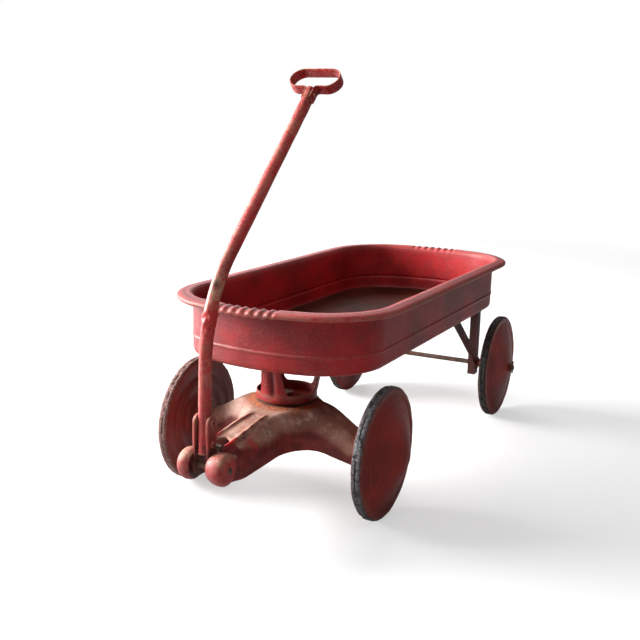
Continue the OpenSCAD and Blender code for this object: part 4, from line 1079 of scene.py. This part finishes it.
def make_tube():
    st = []
    for l in np.linspace(17.5, LOW_LEN, 70):
        st.append((0.0, l, 0.0, TUBE_R, TUBE_R, 2.0, l))
    for a in np.linspace(0, BEND, 46)[1:]:
        st.append(
            (
                BEND_R * (1 - math.cos(a)), LOW_LEN + BEND_R * math.sin(a), a, TUBE_R, TUBE_R, 2.0,
                LOW_LEN + BEND_R * a
            )
        )
    s0 = LOW_LEN + BEND_R * BEND
    for l in np.linspace(BEND_LEG, UP_LEN + 4 + FLAT_LEN - 1.0, 120)[1:]:
        k = float(smooth(UP_LEN - 30, UP_LEN + 4, l))
        st.append(
            (
                l * math.sin(BEND), CORNER + l * math.cos(BEND), BEND, TUBE_R + (FLAT_T / 2 - TUBE_R) * k,
                TUBE_R + (FLAT_W / 2 - TUBE_R) * k, 2.0 + 2.2 * k, s0 + l - BEND_LEG
            )
        )
    n = 48
    ang = np.linspace(0, 2 * math.pi, n, endpoint=False)
    rings, S, A = [], [], []
    for y0, z0, lean, rx, ry, e, s in st:
        c, sn = np.cos(ang), np.sin(ang)
        ux = rx * np.sign(c) * np.abs(c) ** (2 / e)
        uy = ry * np.sign(sn) * np.abs(sn) ** (2 / e)
        rings.append(np.column_stack([ux, y0 + uy * math.cos(lean), z0 - uy * math.sin(lean)]))
        S.append(np.full(n, s))
        A.append(ang)
    pts = np.vstack(rings)
    S, A = np.concatenate(S), np.concatenate(A)
    # Radial direction at each point.
    cen = np.repeat(np.array([(0, a, b) for a, b, *_ in st]), n, axis=0)
    rad = pts - cen
    rad /= np.maximum(np.linalg.norm(rad, axis=1, keepdims=True), 1e-9)
    loc = pts
    kink = np.exp(-((S - 202) / 20) ** 2)
    wr = wobble(loc, 7.5, 3.1, 3)
    ridge = 1 - np.abs(wobble(loc * [1, 1, 1.4], 10.0, 12.0, 2)) * 2.6
    d = 0.30 * wobble(loc, 28, 1.0, 3)
    d += kink * (1.7 * wr + 1.3 * np.clip(ridge, -0.4, 1))
    d += kink * 0.8 * np.cos(A + 0.5)
    d -= 1.6 * np.exp(-((S - 246) / 8) ** 2) * np.exp(-((np.angle(np.exp(1j * (A + 0.9)))) / 0.7) ** 2)
    pts = pts + rad * d[:, None]
    pts = lower(pts)
    # Rolled end at the foot, flat end at the top.
    m = len(st)
    faces = quads(m, n)
    first = pts[:n]
    c0 = first.mean(0)
    inner = c0 + (first - c0) * 0.82
    deep = inner + (lower([(0, 0, 60)])[0] - lower([(0, 0, 18)])[0])
    base = len(pts)
    pts = np.vstack([pts, inner, deep])
    faces += [(i, base + i, base + (i + 1) % n, (i + 1) % n) for i in range(n)]
    faces += [(base + i, base + n + i, base + n + (i + 1) % n, base + (i + 1) % n) for i in range(n)]
    faces.append(tuple(base + n + i for i in range(n)))
    faces.append(tuple((m - 1) * n + i for i in range(n)))
    S2 = np.concatenate([S, np.full(2 * n, 10.0)])
    A2 = np.concatenate([A, ang, ang])
    w = 0.5 + 0.5 * wobble(pts, 30, 5.5, 4)
    w2 = 0.5 + 0.5 * wobble(pts, 12, 7.5, 4)
    # left is 1 on the tube's -x side, where the lamp falls: dust and worn primer are laid on thicker there, a
    # painted highlight that makes that side lighter.
    left = 0.5 - 0.5 * np.cos(A2)
    bare = 0.55 * smooth(
        0.34, 0.72, w * 0.55 + w2 * 0.25 + 0.16 * left
    ) * smooth(70, 130, S2) * smooth(196, 180, S2)
    bare += (
        0.95 * np.exp(-((S2 - 240) / 24) ** 2) * smooth(0.25, 0.6, w2 + 0.2 * left)
        + 0.55 * smooth(0.5, 0.68, w) * smooth(240, 300, S2) * (0.4 + 0.6 * left)
    )
    fresh_paint_and_highlight = (
        0.8 * np.exp(-((S2 - 202) / 17) ** 2) * smooth(0.25, 0.5, w2)
        + 0.25 * smooth(290, 360, S2) * smooth(0.55, 0.7, 1 - w)
    )
    dust_and_lit_side = 0.30 * left * smooth(0.35, 0.6, w2)
    # Painted shade between the straps at the foot, in the dent and inside the rolled end.
    painted_shade_and_grime = (
        0.7 * np.exp(-((S2 - 30) / 10) ** 2) * smooth(0.4, 0.6, w2)
        + 0.9 * np.exp(-((S2 - 247) / 4) ** 2) * np.exp(-((np.angle(np.exp(1j * (A2 + 1.2)))) / 0.5) ** 2)
    )
    painted_shade_and_grime[-2 * n:] = 0.95
    build(
        "handle_bar", pts, faces, HANDLE, "handle", ["handle_tube"],
        {"bare": bare, "fresh_paint_and_highlight": fresh_paint_and_highlight, "dust_and_lit_side": dust_and_lit_side, "painted_shade_and_grime": painted_shade_and_grime}, 50.0
    )


make_tube()


def strap(name, side, node):
    # Outline in (across, along): sides that taper downwards, a round top and a small eye below.
    eye, half, top = 13.0, 11.2, 72.0
    pts2 = arc(0, top - half, half, 0, 180, 20)
    a0 = math.degrees(math.acos(8.8 / eye))
    pts2 += [(-half, 46.0), (-10.4, 32.0), (-9.4, 20.0)]
    pts2 += arc(0, 0, eye, 180 - a0, 360 + a0, 44)
    pts2 += [(9.4, 20.0), (10.4, 32.0), (half, 46.0)]
    n = len(pts2)
    outline2 = np.array(pts2)
    lay = [(9.05, 1.0), (9.6, 1.0), (11.9, 1.0), (12.3, 0.985), (12.45, 0.96)]
    rows = []
    for x, k in lay:
        rows.append(np.column_stack([np.full(n, x * side), outline2[:, 0] * k, outline2[:, 1]]))
    # A slight dish in the middle of the outer face.
    rows.append(
        np.column_stack([np.full(n, 12.1 * side), outline2[:, 0] * 0.6, outline2[:, 1] * 0.985 + 0.4])
    )
    P = np.vstack(rows)
    fc = quads(len(rows), n) + [tuple(range(n - 1, -1, -1)), tuple((len(rows) - 1) * n + i for i in range(n))]
    P[:, 0] += side * 0.15 * wobble(P, 18, 3 + side, 2)
    P[:, 0] = np.clip(np.abs(P[:, 0]), 9.02, 12.42) * side
    Q = lower(P)
    w = 0.5 + 0.5 * wobble(Q, 10, 2.2, 3)
    bare = (
        0.6 * smooth(0.98, 0.955, np.repeat([k for _, k in lay] + [1.0], n)) * smooth(0.3, 0.6, w)
        + 0.35 * smooth(55, 70, P[:, 2])
    )
    # The strap's lower part, between the knuckles, carries painted shade.
    build(
        name, Q, fc, HANDLE, "handle", [node],
        {"bare": bare, "dust_and_lit_side": 0.4 * w, "painted_shade_and_grime": 0.9 * smooth(34, 14, P[:, 2])}, 40.0
    )


strap("strap_r", 1, "handle_strap_right")
strap("strap_l", -1, "handle_strap_left")


def eyelet(at, side, r=4.3, tall=2.6):
    """A tubular rivet: its rolled end is a ring round a hole, whose inside is painted dark as shade."""
    prof = [
        (-0.6, r * 0.55), (-0.6, r + 0.1), (0.4, r + 0.25), (1.2, r + 0.15), (2.0, r - 0.3),
        (tall, r - 1.1), (tall + 0.1, r - 1.9), (tall - 0.4, r - 2.5), (tall - 1.4, r - 2.9), (0.4, r - 3.0)
    ]
    n = 36
    ang = np.linspace(0, 2 * math.pi, n, endpoint=False)
    rows = [
        np.column_stack(
            [np.full(n, side * (at[0] + x)), at[1] + rr * np.cos(ang), at[2] + rr * np.sin(ang)]
        ) for x,
        rr in prof
    ]
    P = np.vstack(rows)
    fc = quads(len(prof), n) + [tuple(range(n - 1, -1, -1)), tuple((len(prof) - 1) * n + i for i in range(n))]
    g = np.repeat([0, 0, 0, 0, 0, 0, 0.2, 0.7, 1.0, 1.0], n)
    return P, fc, g


parts = []
for h in (32.0, 62.0):
    for s in (1, -1):
        parts.append(eyelet((12.4 if s > 0 else 12.4, 0.0, h), s, 4.6))
P, F = joined([(a, b) for a, b, _ in parts])
build(
    "strap_eyelets", lower(P), F, HANDLE, "handle", ["strap_rivets"],
    {"painted_shade_and_grime": np.concatenate([g for *_, g in parts]), "dust_and_lit_side": np.full(len(P), 0.4)}, 40.0
)


def make_grip():
    W, H, T, B = 85.0, 39.0, 2.2, 17.0
    l0 = UP_LEN + 4 + FLAT_LEN + 0.5
    rc = H / 2 - T / 2
    mid = l0 + H / 2
    a = FLAT_T / 2 + T / 2 + 0.05
    cx = W / 2 - H / 2
    low_l = l0 + T / 2
    path = [(-a, low_l - 25.0)] + [(-a, low_l - t) for t in (20, 15, 10, 6.5)]
    path += [
        (-a - 4.5 + 4.5 * math.cos(t), low_l - 4.5 + 4.5 * math.sin(t))
        for t in np.linspace(0.15, math.pi / 2, 7)
    ]
    path += [(-x, low_l) for x in np.linspace(a + 6.5, cx, 5)[:-1]]
    path += [
        (-cx + rc * math.cos(t), mid + rc * math.sin(t))
        for t in np.linspace(1.5 * math.pi, 0.5 * math.pi, 26)
    ]
    path += [(x, mid + rc) for x in np.linspace(-cx, cx, 16)[1:-1]]
    half = [p for p in path if p[0] < -1e-6]
    full = half + [(x, mid + rc) for x in (0.0,)] + [(-x, l) for x, l in half[::-1]]
    full = np.array(full)
    tang = np.gradient(full, axis=0)
    tang /= np.linalg.norm(tang, axis=1, keepdims=True)
    nor = np.column_stack([-tang[:, 1], tang[:, 0]])
    nb = 13
    u = np.linspace(-1, 1, nb)
    rows = []
    for i, (p, nv) in enumerate(zip(full, nor)):
        sec = []
        th = T / 2
        wob = 0.35 * noise.noise(Vector((i * 0.21, 3.0, 0.0)))
        for k in u:
            edge = 1 - abs(k) ** 6 * 0.45
            sec.append((k * B / 2 + wob, th * edge))
        for k in u[::-1]:
            edge = 1 - abs(k) ** 6 * 0.45
            sec.append((k * B / 2 + wob, -th * edge))
        lift = 0.35 * noise.noise(Vector((i * 0.13, 9.0, 1.0)))
        rows.append([(p[0] + nv[0] * (t + lift), b, p[1] + nv[1] * (t + lift)) for b, t in sec])
    # Chamfered lower corners of the two tabs.
    for rws in (rows[0], rows[-1]):
        for j, (x, b, l) in enumerate(rws):
            rws[j] = (x, b, l + 5.0 * max(0.0, abs(b) / (B / 2) - 0.35))
    n = len(rows[0])
    P = np.array([q for r_ in rows for q in r_])
    F = quads(len(rows), n) + [tuple(range(n - 1, -1, -1)), tuple((len(rows) - 1) * n + i for i in range(n))]
    Q = upper(P)
    w = 0.5 + 0.5 * wobble(Q, 14, 4.1, 4)
    edge_b = smooth(0.8, 1.0, np.abs(P[:, 1]) / (B / 2))
    bare = 0.5 * edge_b * smooth(0.3, 0.6, w) + 0.35 * smooth(0.62, 0.8, w)
    # Grime in patches, and painted shade where the band meets the tube's flat end.
    painted_shade_and_grime = (
        0.55 * smooth(0.66, 0.82, 1 - w)
        + 0.5 * np.exp(-((P[:, 2] - low_l) / 4) ** 2) * smooth(16, 8, np.abs(P[:, 0]))
    )
    build(
        "grip_band", Q, F, HANDLE, "handle", ["grip_loop"],
        {"bare": bare, "painted_shade_and_grime": painted_shade_and_grime, "fresh_paint_and_highlight": 0.35 * smooth(0.5, 0.7, w)}, 45.0
    )
    e1 = eyelet((FLAT_T / 2 + T + 0.1, 0.0, UP_LEN + 17), 1, 3.6, 2.3)
    e2 = eyelet((FLAT_T / 2 + T + 0.1, 0.0, UP_LEN + 17), -1, 3.6, 2.3)
    P, F = joined([e1[:2], e2[:2]])
    build(
        "grip_eyelet", upper(P), F, HANDLE, "handle", ["grip_rivet"],
        {"painted_shade_and_grime": 0.5 * np.concatenate([e1[2], e2[2]]), "bare": np.full(len(P), 0.4)}, 40.0
    )


make_grip()
# ---------------------------------------------------------------- carried-over nodes
kept = {
    STEEL: [
        "king_pin", "king_pin_nut", "thrust_washer", "rear_axle", "rear_spacers", "rear_axle_cap",
        "rear_right_washer", "rear_right_nail", "front_axle", "axle_tube", "front_axle_caps",
        "front_washers", "hinge_pin", "slot_stop"
    ]
    + [w + "_hub" for w in ("front_left", "front_right", "rear_left", "rear_right")],
    GEAR: ["rear_bracket_left", "rear_bracket_right", "rear_brace_left", "rear_brace_right", "rear_rivets"],
    FRONT: ["bolster_rivets"],
}
for m, names in kept.items():
    for k in names:
        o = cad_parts.get(k)
        if o is None or o.hide_render:
            continue
        o.data.materials.clear()
        o.data.materials.append(m)

# ---------------------------------------------------------------- floor, light and camera
bm = bmesh.new()
bmesh.ops.create_circle(bm, cap_ends=True, segments=96, radius=14.0)
me = bpy.data.meshes.new("ground")
bm.to_mesh(me)
bm.free()
ground = bpy.data.objects.new("ground", me)
bpy.context.scene.collection.objects.link(ground)
g = Nodes("studio_floor")
seen = g.t.nodes.new("ShaderNodeLightPath")
far = g.t.nodes.new("ShaderNodeVectorMath")
far.operation = "LENGTH"
g.link(g.tc.outputs["Object"], far.inputs[0])
away = g.step(far.outputs["Value"], 1.2, 3.6)
glow = g.t.nodes.new("ShaderNodeEmission")
glow.inputs["Color"].default_value = (1, 1, 1, 1)
glow.inputs["Strength"].default_value = 1.0
mixer = g.t.nodes.new("ShaderNodeMixShader")
g.link(g.mul(g.math("MAXIMUM", away, 0.5), seen.outputs["Is Camera Ray"]), mixer.inputs[0])
g.link(g.bsdf.outputs[0], mixer.inputs[1])
g.link(glow.outputs[0], mixer.inputs[2])
g.link(mixer.outputs[0], g.out.inputs[0])
# The floor throws back less light on the wagon than it shows, as a bigger and darker room would.
g.link(
    g.mix(seen.outputs["Is Camera Ray"], (0.45, 0.44, 0.44), (0.93, 0.925, 0.92)),
    g.bsdf.inputs["Base Color"]
)
g.bsdf.inputs["Roughness"].default_value = 0.42
g.bsdf.inputs["Specular IOR Level"].default_value = 0.3
g.link(g.bump(g.noise(7, 4, 0.5), 0.05, 0.01), g.bsdf.inputs["Normal"])
me.materials.append(g.mat)

world = bpy.data.worlds.new("studio")
bpy.context.scene.world = world
world.use_nodes = True
wt = world.node_tree
wt.nodes.clear()
wo = wt.nodes.new("ShaderNodeOutputWorld")
bg = wt.nodes.new("ShaderNodeBackground")
bg.inputs["Color"].default_value = (1, 1, 1, 1)
white = wt.nodes.new("ShaderNodeBackground")
white.inputs["Color"].default_value = (1, 1, 1, 1)
white.inputs["Strength"].default_value = 1.0
wm = wt.nodes.new("ShaderNodeMixShader")
lp = wt.nodes.new("ShaderNodeLightPath")
wc = wt.nodes.new("ShaderNodeTexCoord")
sep = wt.nodes.new("ShaderNodeSeparateXYZ")
wt.links.new(wc.outputs["Generated"], sep.inputs[0])
side = wt.nodes.new("ShaderNodeMapRange")
side.interpolation_type = "SMOOTHSTEP"
side.inputs["From Min"].default_value = -0.9
side.inputs["From Max"].default_value = 0.9
side.inputs["To Min"].default_value = 0.38
side.inputs["To Max"].default_value = 0.10
wt.links.new(sep.outputs["X"], side.inputs["Value"])
wt.links.new(side.outputs[0], bg.inputs["Strength"])
wt.links.new(lp.outputs["Is Camera Ray"], wm.inputs[0])
wt.links.new(bg.outputs[0], wm.inputs[1])
wt.links.new(white.outputs[0], wm.inputs[2])
wt.links.new(wm.outputs[0], wo.inputs[0])


def lamp(name, loc, aim, size, watts, colour=(1, 1, 1)):
    d = bpy.data.lights.new(name, "AREA")
    d.shape = "RECTANGLE"
    d.size, d.size_y = size
    d.energy = watts
    d.color = colour
    o = bpy.data.objects.new(name, d)
    bpy.context.scene.collection.objects.link(o)
    o.location = loc
    o.rotation_mode = "QUATERNION"
    o.rotation_quaternion = (Vector(aim) - Vector(loc)).to_track_quat("-Z", "Y")


lamp("window", (-2.9, -0.75, 1.4), (0, 0, 0.25), (2.2, 1.7), 480)
lamp("window_back", (-1.6, 2.2, 2.0), (0, 0.1, 0.2), (1.8, 1.4), 44)
lamp("ceiling", (0.9, -1.3, 2.3), (0, 0, 0.15), (1.6, 1.6), 16)

scene = bpy.context.scene
scene.view_settings.view_transform = "Standard"
cam = bpy.data.cameras.new("camera")
cam.sensor_width = 36.0
cam.lens = 918.9 / 640 * 36.0
cam_o = bpy.data.objects.new("camera", cam)
scene.collection.objects.link(cam_o)
yaw, pitch, roll = math.radians(26.87), math.radians(12.44), math.radians(1.37)
fw = Vector((-math.sin(yaw) * math.cos(pitch), math.cos(yaw) * math.cos(pitch), -math.sin(pitch)))
rt = fw.cross(Vector((0, 0, 1))).normalized()
up = rt.cross(fw)
rt2 = math.cos(roll) * rt + math.sin(roll) * up
up2 = -math.sin(roll) * rt + math.cos(roll) * up
cm = Matrix((rt2, up2, -fw)).transposed().to_4x4()
cm.translation = Vector((KX + 0.6658, KY - 1.2056, 0.5900))
cam_o.matrix_world = cm
scene.camera = cam_o
